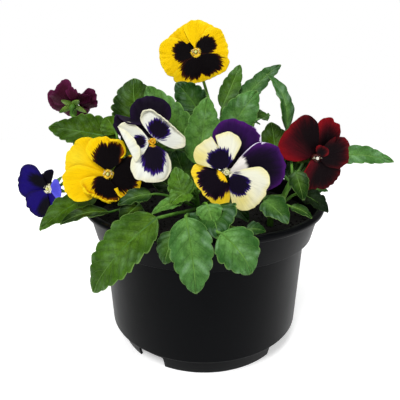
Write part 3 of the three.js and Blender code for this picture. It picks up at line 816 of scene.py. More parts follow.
@dataclass
class Pot:
    """The nursery pot: one moulded shell with a band under its lip and a notched foot."""

    height: float = 104
    lip_radius: float = 85
    lip_z: float = 102
    lip_inner_radius: float = 80.4
    lip_round: float = 2
    band_top: Spot = (81.6, 99.5)
    band_bottom: Spot = (77.6, 81.5)
    body_top_radius: float = 72.8
    body_bottom: Spot = (70, 14)
    foot_top: Spot = (65, 10.5)
    foot_radius: float = 62.5
    wall: float = 1.8
    base_z: float = 9.2
    edge: float = 0.6
    sides: int = 128
    crease_deg: float = 14
    crease_round: float = 0.55
    notch_count: int = 4
    notch_deg: float = 20
    first_notch_deg: float = -125
    notch_height: float = 8.4
    notch_depth: float = 14
    notch_out: float = 2
    notch_round: float = 1.5
    drain_count: int = 4
    drain_radius: float = 4.5
    drain_ring_radius: float = 44
    drain_sides: int = 32

    def inner_wall(self) -> list[Spot]:
        """Gives the inside of the wall, from below the band down to the base.

        Returns:
            Its corners, each a radius and a height.
        """
        wall, edge = self.wall, self.edge
        return [
            (self.band_bottom[0] - wall, self.band_bottom[1] + wall),
            (self.body_top_radius - wall, self.band_bottom[1] - edge),
            (self.body_bottom[0] - wall, self.body_bottom[1] + edge),
            (self.foot_top[0] - wall, self.base_z + wall),
        ]

    def profile(self) -> list[Spot]:
        """Gives the shell's outline, up the outside and down the inside.

        Returns:
            Its corners, each a radius and a height.
        """
        wall, edge = self.wall, self.edge
        return [
            (0, self.base_z),
            (self.foot_top[0] - wall, self.base_z),
            (self.foot_radius - wall, 0),
            (self.foot_radius, 0),
            self.foot_top,
            self.body_bottom,
            (self.body_top_radius, self.band_bottom[1]),
            self.band_bottom,
            self.band_top,
            (self.lip_radius - edge, self.lip_z - self.lip_round),
            (self.lip_radius, self.lip_z),
            (self.lip_radius - edge, self.height - edge),
            (self.lip_radius - self.lip_round, self.height),
            (self.lip_inner_radius, self.height - edge),
            (self.band_top[0] - wall, self.band_top[1] - edge),
            *self.inner_wall(),
            (0, self.base_z + wall),
        ]

    def cutters(self) -> bpy.types.Object:
        """Makes the blocks and pins that cut the foot's notches and the drain holes.

        Returns:
            An object that holds them all.
        """
        cut = bmesh.new()
        chord = 2 * self.foot_radius * math.sin(math.radians(self.notch_deg / 2))
        size = Matrix.Diagonal((self.notch_depth, chord, 2 * self.notch_height, 1))
        for k in range(self.notch_count):
            turn = Matrix.Rotation(math.radians(self.first_notch_deg + 360 / self.notch_count * k), 4, "Z")
            place = turn @ Matrix.Translation((self.foot_radius + self.notch_out, 0, 0))
            block = bmesh.ops.create_cube(cut, size=1, matrix=place @ size)
            edges = {edge for vert in block["verts"] for edge in vert.link_edges}
            bmesh.ops.bevel(
                cut, geom=[edge for edge in edges if min(vert.co.z for vert in edge.verts) > 0],
                offset=self.notch_round, affect="EDGES", segments=4, profile=0.5, material=-1,
            )
        for k in range(self.drain_count):
            angle = math.tau * k / self.drain_count
            place = Vector((math.cos(angle), math.sin(angle), 0)) * self.drain_ring_radius
            place.z = self.base_z
            bmesh.ops.create_cone(
                cut, cap_ends=True, segments=self.drain_sides, radius1=self.drain_radius,
                radius2=self.drain_radius, depth=3 * self.wall, matrix=Matrix.Translation(place),
            )
        return hang("pot_cutters", settle("pot_cutters", cut))

    def build(self) -> None:
        """Builds the pot and dresses it."""
        shell = Sculpture("pot_shell")
        shell.lathe(self.profile(), self.sides)
        sharp = math.radians(self.crease_deg)
        bmesh.ops.bevel(
            shell.mesh, geom=[edge for edge in shell.mesh.edges if edge.calc_face_angle(0) > sharp],
            offset=self.crease_round, affect="EDGES", segments=3, profile=0.5, material=-1,
            clamp_overlap=True,
        )
        piece = shell.finish("black_plastic", ["pot"], [MouldedPlastic()])
        cutters = self.cutters()
        cut = piece.modifiers.new("notches", "BOOLEAN")
        cut.operation = "DIFFERENCE"
        cut.solver = "EXACT"
        cut.object = cutters
        bpy.context.view_layer.update()
        evaluated = piece.evaluated_get(bpy.context.evaluated_depsgraph_get())
        data = bpy.data.meshes.new_from_object(evaluated)
        piece.modifiers.clear()
        piece.data = data
        bpy.data.objects.remove(cutters)


@dataclass
class Soil:
    """Potting soil that fills the pot, with a crumbly top."""

    top_radius: float = 76.8
    heap: float = 1.3
    lump: float = 7
    clod: float = 0.7
    level_rim: float = 8
    fit_gap: float = 0.35
    rings: int = 40
    sides: int = 120
    crumbs: int = 900
    crumb_rim: float = 4
    crumb_sizes: Spot = (0.4, 1.3)
    seed: int = 5

    def height(self, x: float, y: float) -> float:
        """Gives the height of the soil's top at a place.

        Args:
            x: the place's distance right of the pot's axis.
            y: its distance behind the axis.

        Returns:
            The height above the pot's foot.
        """
        fade = 1 - smooth_step(math.hypot(x, y), self.top_radius - self.level_rim, self.top_radius)
        lump = math.sin(x / self.lump + math.sin(y / self.lump)) * math.cos(y / self.lump)
        rough = noise.noise(Vector((x, y, 0)) * 0.25) + 0.5 * noise.noise(Vector((x, y, 3)) * 0.7)
        return SOIL_Z + fade * (self.heap * lump + self.clod * rough)

    def build(self, pot: Pot) -> None:
        """Builds the soil and dresses it.

        Args:
            pot: the pot that the soil fills.
        """
        wall = [(r - self.fit_gap, z + self.fit_gap) for r, z in reversed(pot.inner_wall())]
        top = [(self.top_radius * (1 - k / self.rings), SOIL_Z) for k in range(self.rings)]
        fill = Sculpture("soil_fill")
        fill.lathe([(0, wall[0][1]), *wall, *top, (0, SOIL_Z)], self.sides)
        for vert in fill.mesh.verts:
            if vert.co.z > SOIL_Z - self.fit_gap:
                vert.co.z = self.height(vert.co.x, vert.co.y)
        pick = random.Random(self.seed)
        for _ in range(self.crumbs):
            radius = (self.top_radius - self.crumb_rim) * math.sqrt(pick.random())
            angle = pick.uniform(0, math.tau)
            x, y = radius * math.cos(angle), radius * math.sin(angle)
            size = pick.uniform(*self.crumb_sizes)
            turn = Matrix.Rotation(pick.uniform(0, math.tau), 4, Vector((pick.random(), pick.random(), 1)))
            squash = Matrix.Diagonal((1, pick.uniform(0.6, 1), pick.uniform(0.4, 0.8), 1))
            place = Matrix.Translation((x, y, self.height(x, y) + size * 0.15)) @ turn @ squash
            bmesh.ops.create_icosphere(fill.mesh, subdivisions=1, radius=size, matrix=place)
        fill.finish("potting_soil", ["soil"], [PottingSoil()])


@dataclass(frozen=True)
class Leaf:
    """A leaf: the share of its stem's length that it leaves at, its blade from base to tip, and its tones."""

    at: float
    base: Point
    tip: Point
    wide: float
    bow: float
    face: Point
    teeth: int
    # A low tint paints shade on a leaf that sits in the clump's shade
    tint_and_shade: float | None = None
    olive: float | None = None


@dataclass
class Blade:
    """A leaf's blade, worked out finely: waved, quilted between its side veins, and toothed at its edges."""

    leaf: Leaf
    seed: int
    fold: float = 0.18
    belly: float = 0.62
    fullness: float = 0.66
    least_half: float = 0.5
    tooth_depth: float = 0.12
    tooth_skew: float = 1.25
    tooth_round: float = 0.55
    tooth_level: float = 0.7
    tooth_lean: float = 0.12
    least_teeth: int = 4
    more_teeth: float = 1.3
    rim_power: float = 5
    vein_slope: float = 0.85
    vein_curve: float = 1.2
    first_vein: float = 0.4
    quilt: float = 0.6
    groove: float = 0.45
    groove_half: float = 0.6
    wave: float = 1.1
    waves: float = 2.2
    droop: float = 1.2
    full_width: float = 20
    tooth_rows: int = 9
    most_rows: int = 96
    least_columns: int = 12

    def __post_init__(self) -> None:
        """Works out the blade's axes and its own small differences."""
        leaf = self.leaf
        self.base = Vector(leaf.base)
        self.along = Vector(leaf.tip) - self.base
        self.length = self.along.length
        self.along.normalize()
        self.out = Vector(leaf.face)
        self.out = (self.out - self.along * self.out.dot(self.along)).normalized()
        self.across = self.along.cross(self.out)
        self.teeth = max(self.least_teeth, round(leaf.teeth * self.more_teeth))
        pick = random.Random(self.seed)
        self.phase = [pick.uniform(0, math.tau) for _ in range(2)]
        self.tint_and_shade = pick.uniform(0, 0.6)
        self.twist = pick.uniform(-0.2, 0.2)
        self.sway = pick.uniform(-0.035, 0.035) * self.length
        self.olive = min(1.0, max(0.0, 0.3 - self.base.x / 70 + pick.uniform(-0.2, 0.2)))
        # A listed tint replaces the random one, and a low one paints shade
        if leaf.tint_and_shade is not None:
            self.tint_and_shade = leaf.tint_and_shade
        if leaf.olive is not None:
            self.olive = leaf.olive
        self.size = min(1.0, leaf.wide / self.full_width)
        self.lag = self.vein_slope * leaf.wide / 2 * self.teeth / self.length

    def half(self, t: float) -> float:
        """Gives half the blade's width at a share of its length, without its teeth."""
        egg = abs(math.sin(math.pi * t**self.belly)) ** self.fullness
        return max(self.least_half, self.leaf.wide / 2 * egg)

    def tooth(self, t: float) -> float:
        """Gives how far the edge stands out at a share of the length, from 0 in a notch to 1 on a tooth."""
        phase = (t * self.teeth) % 1
        return abs(math.sin(math.pi * phase**self.tooth_skew)) ** self.tooth_round

    def middle(self, t: float) -> Vector:
        """Gives the midrib's point at a share of the blade's length.

        Args:
            t: the share, from base to tip.

        Returns:
            The point.
        """
        arch = 4 * t * (1 - t)
        rise = self.leaf.bow * arch - self.droop * t**5
        return self.base + self.along * self.length * t + self.out * rise + self.across * self.sway * arch

    def lift(self, side: float, t: float, x: float, count: float) -> float:
        """Gives how far a point stands out from the midrib's level.

        Args:
            side: from -1 at one edge to 1 at the other.
            t: the share of the blade's length.
            x: the distance from the midrib.
            count: the count of side veins.

        Returns:
            The height along the way that the blade faces.
        """
        bulge = abs(math.sin(math.pi * count)) ** 0.8 * (1 - abs(side) ** 3) * min(1, abs(side) * 3)
        groove = math.exp(-((x / self.groove_half) ** 2))
        waved = math.sin(math.tau * self.waves * t + self.phase[side > 0])
        waved += 0.5 * math.sin(math.tau * self.teeth * t)
        wave = self.wave * abs(side) ** 2.5 * waved * math.sin(math.pi * t)
        folded = self.fold * (math.sqrt(x * x + 1) - 1)
        return folded + self.size * (self.quilt * bulge - self.groove * groove + wave)

    def place(self, side: float, along: float) -> tuple[Vector, Point, Point, Point]:
        """Places a point of the blade.

        Args:
            side: from -1 at one edge to 1 at the other.
            along: from -1 at the base to 1 at the tip.

        Returns:
            The point, and what it carries: the place on the blade, the blade's form and the leaf's tones,
                with its painted shade.
        """
        t = (along + 1) / 2
        rim = abs(side) ** self.rim_power
        x = side * self.half(t) * (1 + self.tooth_depth * rim * (self.tooth(t) - self.tooth_level))
        count = self.teeth * t - self.lag * abs(side) ** self.vein_curve + self.first_vein
        lean = self.length / self.teeth * self.tooth_lean * rim * self.tooth(t) * (1 - t)
        turn = self.twist * (2 * t - 1)
        across = self.across * math.cos(turn) + self.out * math.sin(turn)
        out = self.out * math.cos(turn) - self.across * math.sin(turn)
        point = self.middle(t) + across * x + out * self.lift(side, t, x, count) + self.along * lean
        return point, (x, count, t), (self.leaf.wide, max(abs(side), t), 0), (self.tint_and_shade, self.olive, 0)

    def build(self, foliage: Sculpture) -> None:
        """Adds the blade to a leafy stem's foliage, with more cells where it has more teeth or is wider."""
        rows = min(self.most_rows, self.teeth * self.tooth_rows)
        foliage.grid(self.least_columns + 2 * round(self.leaf.wide / 4), rows, self.place)


ROUTES: dict[str, list[tuple[float, ...]]] = {
    "front": [(-2, -36), (-4, -45, 108), (-6, -50, 124)],
    "right": [(44, -30), (50, -35, 112), (56, -34, 126)],
    "left": [(-44, -14), (-54, -20, 118), (-58, -20, 142)],
    "middle": [(6, 20), (10, 8, 130), (12, 0, 160)],
    "back_left": [(-22, 12), (-26, 0, 128), (-30, -10, 148)],
    "back_right": [(34, 40), (38, 46, 125), (40, 48, 146)],
    "back": [(-28, 44), (-34, 50, 122), (-36, 54, 144)],
}

# A listed tint paints shade where it is low: it darkens a leaf in the clump's shade, and below -0.5 mixes in
# the painted shade colour
LEAVES: dict[str, list[Leaf]] = {
    "front": [
        Leaf(0.5, (-26, -80, 115), (-63, -84, 73), 28, 7, (-0.3, -1, 0.9), 6),
        Leaf(0.3, (-10, -88, 118), (-5, -95, 78), 22, 6, (0, -1, 0.5), 5, 0.35, 0.1),
        Leaf(0.2, (-16, -83, 108), (-22, -88, 92), 14, 2, (0, -1, 0.4), 3),
        Leaf(0.2, (8, -92, 111), (24, -95, 90), 23, 4, (0.1, -1, 0.6), 4),
        Leaf(0.4, (3, -65, 115), (7, -94, 109.5), 27, 3, (-0.1, -0.6, 1), 4, -0.3),
        Leaf(0.3, (1, -74, 120.5), (4, -85, 112.5), 14, 1, (0, -1, 0.8), 3, 0.7),
        Leaf(0.8, (-12, -59, 120), (-17, -55, 137), 15, 1, (0, -1, 0.6), 3, 0.8, 0.9),
        Leaf(0.8, (-10, -58, 123), (-19, -70, 120), 13, 1, (0, -0.8, 1), 3, 0.8, 0.9),
        Leaf(0.7, (-13, -64, 120), (-29, -74, 116), 8, 1, (0, -0.8, 1), 2, 0.8, 0.6),
        Leaf(0.5, (-32, -52, 120), (-51, -58, 116), 12, 2, (0, -0.6, 1), 3, -0.5),
        Leaf(0.97, (-3, -44, 136), (2, -22, 175), 22, 3, (0, -1, 0.3), 5),
        Leaf(0.3, (23, -71, 105), (33, -75, 106), 9, 1, (0, -0.8, 1), 2, -0.7),
        Leaf(0.6, (-18, -42, 120), (-34, -38, 128), 15, 1, (0, -0.8, 1), 3, -0.8),
        Leaf(0.5, (-10, -34, 120), (-19, -25, 142), 22, 1, (0, -1, 0.6), 2, -0.5),
        Leaf(0.5, (10, -50, 116), (26, -60, 106), 15, 2, (0, -0.4, 1), 3, -0.8),
    ],
    "right": [
        Leaf(0.6, (34, -62, 119), (46, -73, 110), 16, 1, (0, -0.7, 1), 3, 0.1, 0.3),
        Leaf(0.4, (52, -51, 112), (63, -59, 108), 7, 1, (0, -0.7, 1), 2, 0, 0.6),
        Leaf(0.95, (56, -41, 131), (59, -53, 117), 12, 1, (0, -1, 0.5), 3, -0.6, 0.7),
        Leaf(0.6, (86, -6, 134), (134.4, -3, 130), 15, 2, (0, -1, 0.8), 5, 0.4, 0),
        Leaf(0.98, (55, -11, 153), (43, 4, 189), 13, 6, (0.6, -0.8, 0.5), 4),
        Leaf(0.9, (47, -24, 132), (45, -9, 158), 22, 2, (0, -1, 0.4), 4, 0.2, 1),
        Leaf(0.2, (76, -1, 108), (92, 3, 107), 9, 1, (0, -0.6, 1), 2),
        Leaf(0.3, (62, -34, 115), (76, -48, 108), 15, 2, (0, -0.5, 1), 3, -1),
        Leaf(0.7, (60, -16, 118), (64, -10, 142), 20, 1, (0, -1, 0.3), 2, -0.7),
    ],
    "left": [
        Leaf(0.98, (-57, -18, 148), (-105, -9, 155), 26, 3, (0, -1, 0.9), 6),
        Leaf(0.95, (-57, -22, 152), (-65, -13, 162), 15, 1, (0, -1, 0.5), 3),
        Leaf(0.2, (-74, -24, 111), (-100, -55, 99), 22, 2, (0, -0.4, 1), 4),
        Leaf(0.15, (-60, -44, 106), (-86, -58, 104), 12, 3, (0, -0.4, 1), 3, -0.4),
        Leaf(0.3, (-76, -4, 116), (-98, 14, 106), 18, 3, (-0.4, 0, 1), 4),
        Leaf(0.15, (-44, -32, 106), (-52, -46, 101), 16, 1, (0, -0.5, 1), 3, -0.5),
        Leaf(0.5, (-50, -12, 134), (-50, -2, 156), 16, 1, (0, -1, 0.3), 2, -0.5),
    ],
    "middle": [
        Leaf(0.98, (21, -6, 167), (56, 28, 196), 15, 3, (-0.5, -1, 0.6), 5),
        Leaf(0.98, (12, -6, 167), (25, 11, 195), 13, 2, (0, -1, 0.3), 4, 0.4, 0.8),
        Leaf(0.9, (15, -18, 151), (35, -8, 178), 22, 3, (0, -1, 0.3), 4),
        Leaf(0.95, (-4, 1, 164), (-19, 3, 183), 22, 2, (0, -1, 0.3), 4, -0.6),
        Leaf(0.9, (29, -6, 162), (44, -2, 161.5), 7, 1, (0, -1, 0.6), 2, 0.4, 0.7),
        Leaf(0.7, (26, 20, 150), (43, 29, 153), 14, 3, (0.2, -0.2, 1), 4),
        Leaf(0.7, (-6, 32, 152), (-22, 46, 166), 20, 3, (-0.2, 0.8, 0.8), 4),
    ],
    "back_left": [
        Leaf(0.8, (-9, -30, 147), (-38, -9, 181), 24, 4, (-0.3, -1, 0.4), 5),
        Leaf(0.98, (-43, -10, 154), (-48, 3, 186), 31, 3, (0, -1, 0.3), 5),
        Leaf(0.8, (-38, 14, 150), (-62, 26, 160), 20, 3, (-0.2, 0.2, 1), 4),
        Leaf(0.3, (-14, -4, 132), (-36, 0, 148), 18, 2, (0, -1, 0.5), 2, -0.8),
        Leaf(0.3, (-52, 20, 120), (-82, 28, 114), 18, 3, (-0.2, 0.1, 1), 3),
    ],
    "back_right": [
        Leaf(0.6, (60, 40, 126), (102, 50, 118), 22, 5, (0, 0.2, 1), 4),
        Leaf(0.4, (54, 64, 120), (73, 99, 105), 24, 5, (0.2, 0.5, 1), 3),
        Leaf(0.7, (26, 68, 130), (20, 101, 125), 22, 4, (0, 0.6, 1), 3),
        Leaf(0.98, (42, 53, 151), (56, 76, 151), 17, 2, (0.2, 0.8, 0.8), 3),
        Leaf(0.9, (62, 26, 140), (96, 24, 146), 17, 3, (0.1, 0, 1), 3),
        Leaf(0.2, (66, 34, 110), (92, 62, 104), 20, 4, (0.3, 0.3, 1), 3),
    ],
    "back": [
        Leaf(0.4, (-52, 62, 118), (-72, 90, 103), 24, 5, (-0.2, 0.5, 1), 3),
        Leaf(0.5, (-26, 72, 122), (-20, 101.5, 103), 22, 4, (0, 0.8, 1), 3),
        Leaf(0.7, (-62, 44, 128), (-100, 52, 122), 20, 4, (-0.1, 0.1, 1), 3),
        Leaf(0.98, (-40, 56, 149), (-56, 70, 168), 20, 2, (-0.2, 0.8, 0.8), 3),
        Leaf(0.9, (-16, 56, 146), (4, 72, 164), 18, 3, (0.2, 0.8, 0.8), 3),
        Leaf(0.3, (4, 66, 114), (28, 99, 102), 22, 4, (0, 0.5, 1), 3),
        Leaf(0.6, (-14, 40, 132), (14, 36, 140), 20, 3, (0, 0.4, 1), 3),
    ],
}


def curl(
    x: float, y: float, way: Vector, beyond: float, radius: float, most: float,
) -> tuple[float, float, float]:
    """Bends what lies beyond a crease of a flat petal out of its face.

    Args:
        x: the point's distance right of the petal's line.
        y: its distance from the bloom's middle.
        way: the direction that the crease lies across.
        beyond: how far past the crease the point lies.
        radius: the bend's radius.
        most: the furthest turn, in radians.

    Returns:
        The point's place right, up and out, once bent.
    """
    if beyond <= 0:
        return x, y, 0.0
    turned = min(most, beyond / radius)
    rest = beyond - radius * turned
    flat = radius * math.sin(turned) + rest * math.cos(turned)
    high = radius * (1 - math.cos(turned)) + rest * math.sin(turned)
    moved = Vector((x, y)) + way * (flat - beyond)
    return moved.x, moved.y, high


@dataclass(frozen=True)
class Fold:
    """A crease across a petal. What lies beyond it bends out of the petal's face."""

    at: Spot
    towards: float
    angle: float
    radius: float = 1.2

    def way(self) -> Vector:
        """Gives the direction that the crease lies across."""
        return Vector((math.sin(math.radians(self.towards)), math.cos(math.radians(self.towards))))

    def beyond(self, x: float, y: float) -> float:
        """Gives how far past the crease a point of the flat petal lies."""
        return (Vector((x, y)) - Vector(self.at)).dot(self.way())

    def painted_shade(self, x: float, y: float) -> float:
        """Gives how much painted shade the crease lays on a point of the flat petal."""
        sharp = min(1.0, abs(self.angle) / SHARPEST_FOLD)
        return sharp * math.exp(-(((self.beyond(x, y) - self.radius) / CREASE_SHADE_WIDTH) ** 2))

    def bend(self, x: float, y: float) -> tuple[float, float, float]:
        """Folds a point of the flat petal to its place right, up and out."""
        x, y, high = curl(x, y, self.way(), self.beyond(x, y), self.radius, math.radians(abs(self.angle)))
        return x, y, math.copysign(high, self.angle)


@dataclass(frozen=True)
class Roll:
    """A rolled rim: how much of the petal's edge curls forward, and how far to both sides of a direction."""

    width: float
    towards: float
    spread: float
    radius: float = 0.9
    most: float = 2.6

    def reach(self, x: float, y: float, middle: float) -> float:
        """Gives how wide the rolled rim is in a point's direction from the petal's middle."""
        away = abs((math.degrees(math.atan2(x, y - middle)) - self.towards + 180) % 360 - 180)
        return self.width * (1 - smooth_step(away, self.spread - ROLL_FADE, self.spread + ROLL_FADE))

    def painted_shade(self, x: float, y: float, middle: float, edge: float) -> float:
        """Gives how much painted shade the roll lays on a point of the flat petal, at its distance from the
        rim.
        """
        reach = self.reach(x, y, middle)
        return reach / self.width * math.exp(-(((edge - reach - CREASE_SHADE_WIDTH) / CREASE_SHADE_WIDTH) ** 2))

    def bend(self, x: float, y: float, middle: float, edge: float) -> tuple[float, float, float]:
        """Rolls a point of the flat petal, at its distance from the rim, to its place right, up and out."""
        beyond = self.reach(x, y, middle) - edge
        return curl(x, y, Vector((x, y - middle)).normalized(), beyond, self.radius, self.most)


@dataclass(frozen=True)
class Blotch:
    """A dark mark on a petal: its middle, its half width and height, and how deep a cleft parts its top."""

    at: Spot
    size: Spot
    cleft: float = 0.0
    cleft_x: float = 0.0
    cleft_half: float = 1.5
    squareness: float = 2.6

    def reach(self, x: float, y: float) -> float:
        """Gives how far out a point of the flat petal lies.

        Args:
            x: its distance right of the petal's line.
            y: its distance from the bloom's middle.

        Returns:
            A value from 0 in the blotch's middle to 1 on its border, and on beyond it.
        """
        right, up = (x - self.at[0]) / self.size[0], (y - self.at[1]) / self.size[1]
        away = (abs(right) ** self.squareness + abs(up) ** self.squareness) ** (1 / self.squareness)
        parted = math.exp(-(((x - self.cleft_x) / self.cleft_half) ** 2))
        return away + self.cleft * max(0.0, up) ** 2 * parted


@dataclass(frozen=True)
class Petal:
    """A petal: its finish, layer, turn in degrees, length and width, and its marks and bends."""

    skin: PetalVelvet
    layer: Layer
    turn: float
    length: float
    width: float
    blotch: Blotch | None = None
    lean: float = 0.0
    folds: tuple[Fold, ...] = ()
    rolls: tuple[Roll, ...] = ()
    cup: float = 0.0
    frill: float = 0.35
    eye: float = 3.0
    slit: float | None = None
    claw: float = CLAW_SHARE
    hem: Spot = NO_HEM
    wash: Spot | None = None

    def washed(self, x: float, y: float) -> float:
        """Gives how much of the second colour is washed over a point of the flat petal."""
        return math.exp(-((math.dist(self.wash, (x, y)) / WASH_RADIUS) ** 2)) if self.wash else 0.0

    def hemmed(self, angle: float) -> float:
        """Gives how much of a hem the petal has in a direction from its bloom's middle."""
        towards, spread = self.hem
        return 1 - smooth_step(abs(math.degrees(angle) - towards), spread - HEM_FADE, spread + HEM_FADE)

    def place(self, u: float, v: float) -> tuple[Vector, Vector, Vector, Vector]:
        """Places a point of the petal in its bloom.

        Args:
            u: across it, from -1 to 1.
            v: along it, from -1 at the claw to 1 at the rim.

        Returns:
            The point right, up and out of the bloom's middle, and the petal's marks, fan and trim there.
        """
        share = (v * math.sqrt(1 - PETAL_ROUND * u * u) + 1) / 2
        claw = self.claw + (1 - self.claw) * math.sin(math.pi / 2 * min(1, share / CLAW_END))
        x = u * math.sqrt(1 - PETAL_ROUND * v * v) * self.width / 2 * claw
        y = CLAW_START + share**PETAL_SPREAD * (self.length - CLAW_START)
        angle = math.atan2(x, y)
        seed = self.turn * SEED_STEP
        rough = noise.noise(Vector((angle * 6, share * 2, seed)))
        frill = noise.noise(Vector((angle * 9, seed, 5.0)))
        y *= 1 + (RAGGED_RIM * rough + FRILLED_RIM * self.frill * frill) * share
        x *= 1 + RAGGED_SIDE * noise.noise(Vector((share * 5, seed, 2.0))) * abs(u)
        if self.slit is not None:
            y -= SLIT_DEPTH * math.exp(-(((u - self.slit) / SLIT_WIDTH) ** 2)) * max(0.0, v) ** 2
        z = self.lean * (y - CLAW_START) + self.cup * share * x * x / self.width
        z += RUFFLE_HEIGHT * share * share * math.sin(RUFFLE_COUNT * angle + self.turn)
        z += CRINKLE_HEIGHT * share**3 * noise.noise(Vector((x * CRINKLE_SCALE, y * CRINKLE_SCALE, seed)))
        z += FRILL_HEIGHT * self.frill * share**4 * frill
        z += PLEAT_HEIGHT * share * math.sin(PLEATS * angle + 3 * rough)
        radius = math.hypot(x, y)
        edge = min((1 - abs(u)) * self.width / 2, (1 - v) * self.length / 2)
        marks = Vector((self.blotch.reach(x, y) if self.blotch else NO_BLOTCH, edge, radius / self.eye))
        middle = self.length * PETAL_MIDDLE
        # The trim's second value is how much painted shade the folds and rolls lay here
        shades = [0.0, *(fold.painted_shade(x, y) for fold in self.folds)]
        shades += [roll.painted_shade(x, y, middle, edge) for roll in self.rolls]
        trim = Vector((self.hemmed(angle), max(shades), self.washed(x, y)))
        for roll in self.rolls:
            x, y, high = roll.bend(x, y, middle, edge)
            z += high
        for fold in self.folds:
            x, y, high = fold.bend(x, y)
            z += high
        turned = math.radians(self.turn)
        right = x * math.cos(turned) + y * math.sin(turned)
        up = y * math.cos(turned) - x * math.sin(turned)
        out = self.layer.value * LAYER_PITCH + z
        return Vector((right, up, out)), marks, Vector((angle, radius, seed)), trim


@dataclass
class Bloom:
    """A pansy bloom: its middle and facing, its stalk's way from a leafy stem, and its petals by node."""

    name: str
    middle: Point
    face: Point
    stem: str
    at: float
    via: Point
    petals: dict[str, tuple[Petal, ...]]
    throat: PlantSkin = YELLOW_THROAT
    throat_size: float = 1.0
    style: PlantSkin = STYLE_GREEN
    hairs: int = 14
    sepal_half: float = 1.6
    sepal_length: float = 10
    sepal_root: float = 1.0
    sepal_count: int = 5
    sepal_thick: float = 0.3
    sepal_cells: tuple[int, int] = (6, 14)
    petal_thick: float = 0.4
    cells: int = 44
    seat: float = -0.85
    swelling_radii: tuple[float, ...] = (2.3, 2.5, 2.2, 1.6, 1.1)
    swelling_heights: tuple[float, ...] = (0, 1, 2.4, 3.8, 5)
    receptacle_length: float = 5
    stalk_radius: float = 1.1
    stalk_lead: float = 5
    throat_back: float = -0.5
    style_radii: tuple[float, ...] = (0.5, 0.55, 0.7, 1.15, 1.0, 0.35)
    hair_turns: Spot = (40, 100)
    hair_roots: Spot = (2.0, 3.2)
    hair_shares: Spot = (0.72, 0.95)
    hair_heights: Spot = (0.8, 1.7)
    hair_radii: Point = (0.16, 0.13, 0.04)

    def __post_init__(self) -> None:
        """Works out the bloom's place and turn, and lists its petals with their nodes."""
        out = Vector(self.face).normalized()
        up = (Vector((0, 0, 1)) - out * out.z).normalized()
        turn = Matrix((up.cross(out), up, out)).transposed().to_4x4()
        self.frame = Matrix.Translation(Vector(self.middle)) @ turn
        self.rows = [(node, petal) for node, group in self.petals.items() for petal in group]

    def out_from(self, heights: list[float]) -> list[Vector]:
        """Gives points on the bloom's axis, at heights out from its middle."""
        return [self.frame @ Vector((0, 0, height)) for height in heights]

    def build(self) -> None:
        """Builds the bloom's petals, each as its own piece, and its middle."""
        for number, (node, petal) in enumerate(self.rows, 1):
            sheet = Sculpture(f"{self.name}_petal_{number}", ("marks", "fan", "trim"))
            sheet.grid(self.cells, self.cells, petal.place, self.frame)
            sheet.finish(petal.skin.slot, [node], [petal.skin], self.petal_thick)
        self.build_throat()
        self.build_style()
        self.build_beard()

    def stalk_line(self, stem: list[Vector]) -> list[Vector]:
        """Gives the stalk's line from its leafy stem to the bloom's back."""
        ends = self.out_from([-self.receptacle_length - self.stalk_lead, -self.receptacle_length])
        return smooth_line([along_line(stem, self.at), Vector(self.via), *ends], 10)

    def sepal_place(self, side: float, along: float) -> tuple[Vector]:
        """Places a point of a sepal that points up behind the bloom.

        Args:
            side: from -1 at one edge to 1 at the other.
            along: from -1 at the root to 1 at the tip.

        Returns:
            The point right, up and out of the bloom's middle.
        """
        t = (along + 1) / 2
        half = self.sepal_half * math.sin(math.pi * (0.12 + 0.88 * t) ** 0.8) ** 0.7 + 0.12
        reach = self.sepal_root + t * (self.sepal_length - self.sepal_root)
        back = -0.3 * reach - 0.6 * t * t + 0.25 * abs(side) * half
        return (Vector((side * half, reach, self.seat - 0.4 + back)),)

    def build_calyx(self, greens: Sculpture) -> None:
        """Builds the sepals, and the swelling under them.

        Args:
            greens: the mesh of the leafy stem's green pieces, which the swelling joins.
        """
        swelling = self.out_from([self.seat - height for height in self.swelling_heights])
        greens.tube(swelling, self.swelling_radii, 16)
        sepals = Sculpture(f"{self.name}_sepals")
        for k in range(self.sepal_count):
            turn = Matrix.Rotation(-math.tau * (k + 0.5) / self.sepal_count, 4, "Z")
            sepals.grid(*self.sepal_cells, self.sepal_place, self.frame @ turn)
        sepals.finish("leaf_green", ["leafy_stem_" + self.stem], [SEPAL_SKIN], self.sepal_thick)

    def build_throat(self) -> None:
        """Builds the throat: a short turned cup that the style stands in."""
        throat = Sculpture(f"{self.name}_throat")
        outside = [(2.3, self.throat_back), (2.7, 1.2), (2.6, FRONT - 0.6), (2.1, FRONT + 0.3)]
        throat.lathe([(1.3, self.throat_back), *outside, (1.5, FRONT), (1.2, FRONT - 1.2)], 32)
        narrow = Matrix.Diagonal((self.throat_size, self.throat_size, 1, 1))
        bmesh.ops.transform(throat.mesh, matrix=self.frame @ narrow, verts=throat.mesh.verts)
        throat.finish(self.rows[0][1].skin.slot, sorted(self.petals), [self.throat])

    def build_style(self) -> None:
        """Builds the style, with its round head."""
        style = Sculpture(f"{self.name}_style")
        line = self.out_from([-0.8, 1.5, FRONT - 0.4, FRONT + 0.3, FRONT + 0.9, FRONT + 1.3])
        style.tube(line, [self.throat_size * radius for radius in self.style_radii], 16)
        style.finish("leaf_green", ["leafy_stem_" + self.stem], [self.style])

    def build_beard(self) -> None:
        """Builds the fine hairs on both sides of the style."""
        beard = Sculpture(f"{self.name}_beard")
        pick = random.Random(int(abs(self.middle[0]) * 7))
        for side in (-1, 1):
            for _ in range(self.hairs):
                angle = side * math.radians(pick.uniform(*self.hair_turns))
                start = Vector((math.sin(angle), math.cos(angle), 0)) * pick.uniform(*self.hair_roots)
                start.z = FRONT - 0.2
                tip = start * pick.uniform(*self.hair_shares)
                tip.z = FRONT + pick.uniform(*self.hair_heights)
                hair = [self.frame @ point for point in (start, start.lerp(tip, 0.6), tip)]
                beard.tube(hair, self.hair_radii, 5)
        beard.finish(self.rows[-1][1].skin.slot, sorted(self.petals), [CREAM_BEARD])


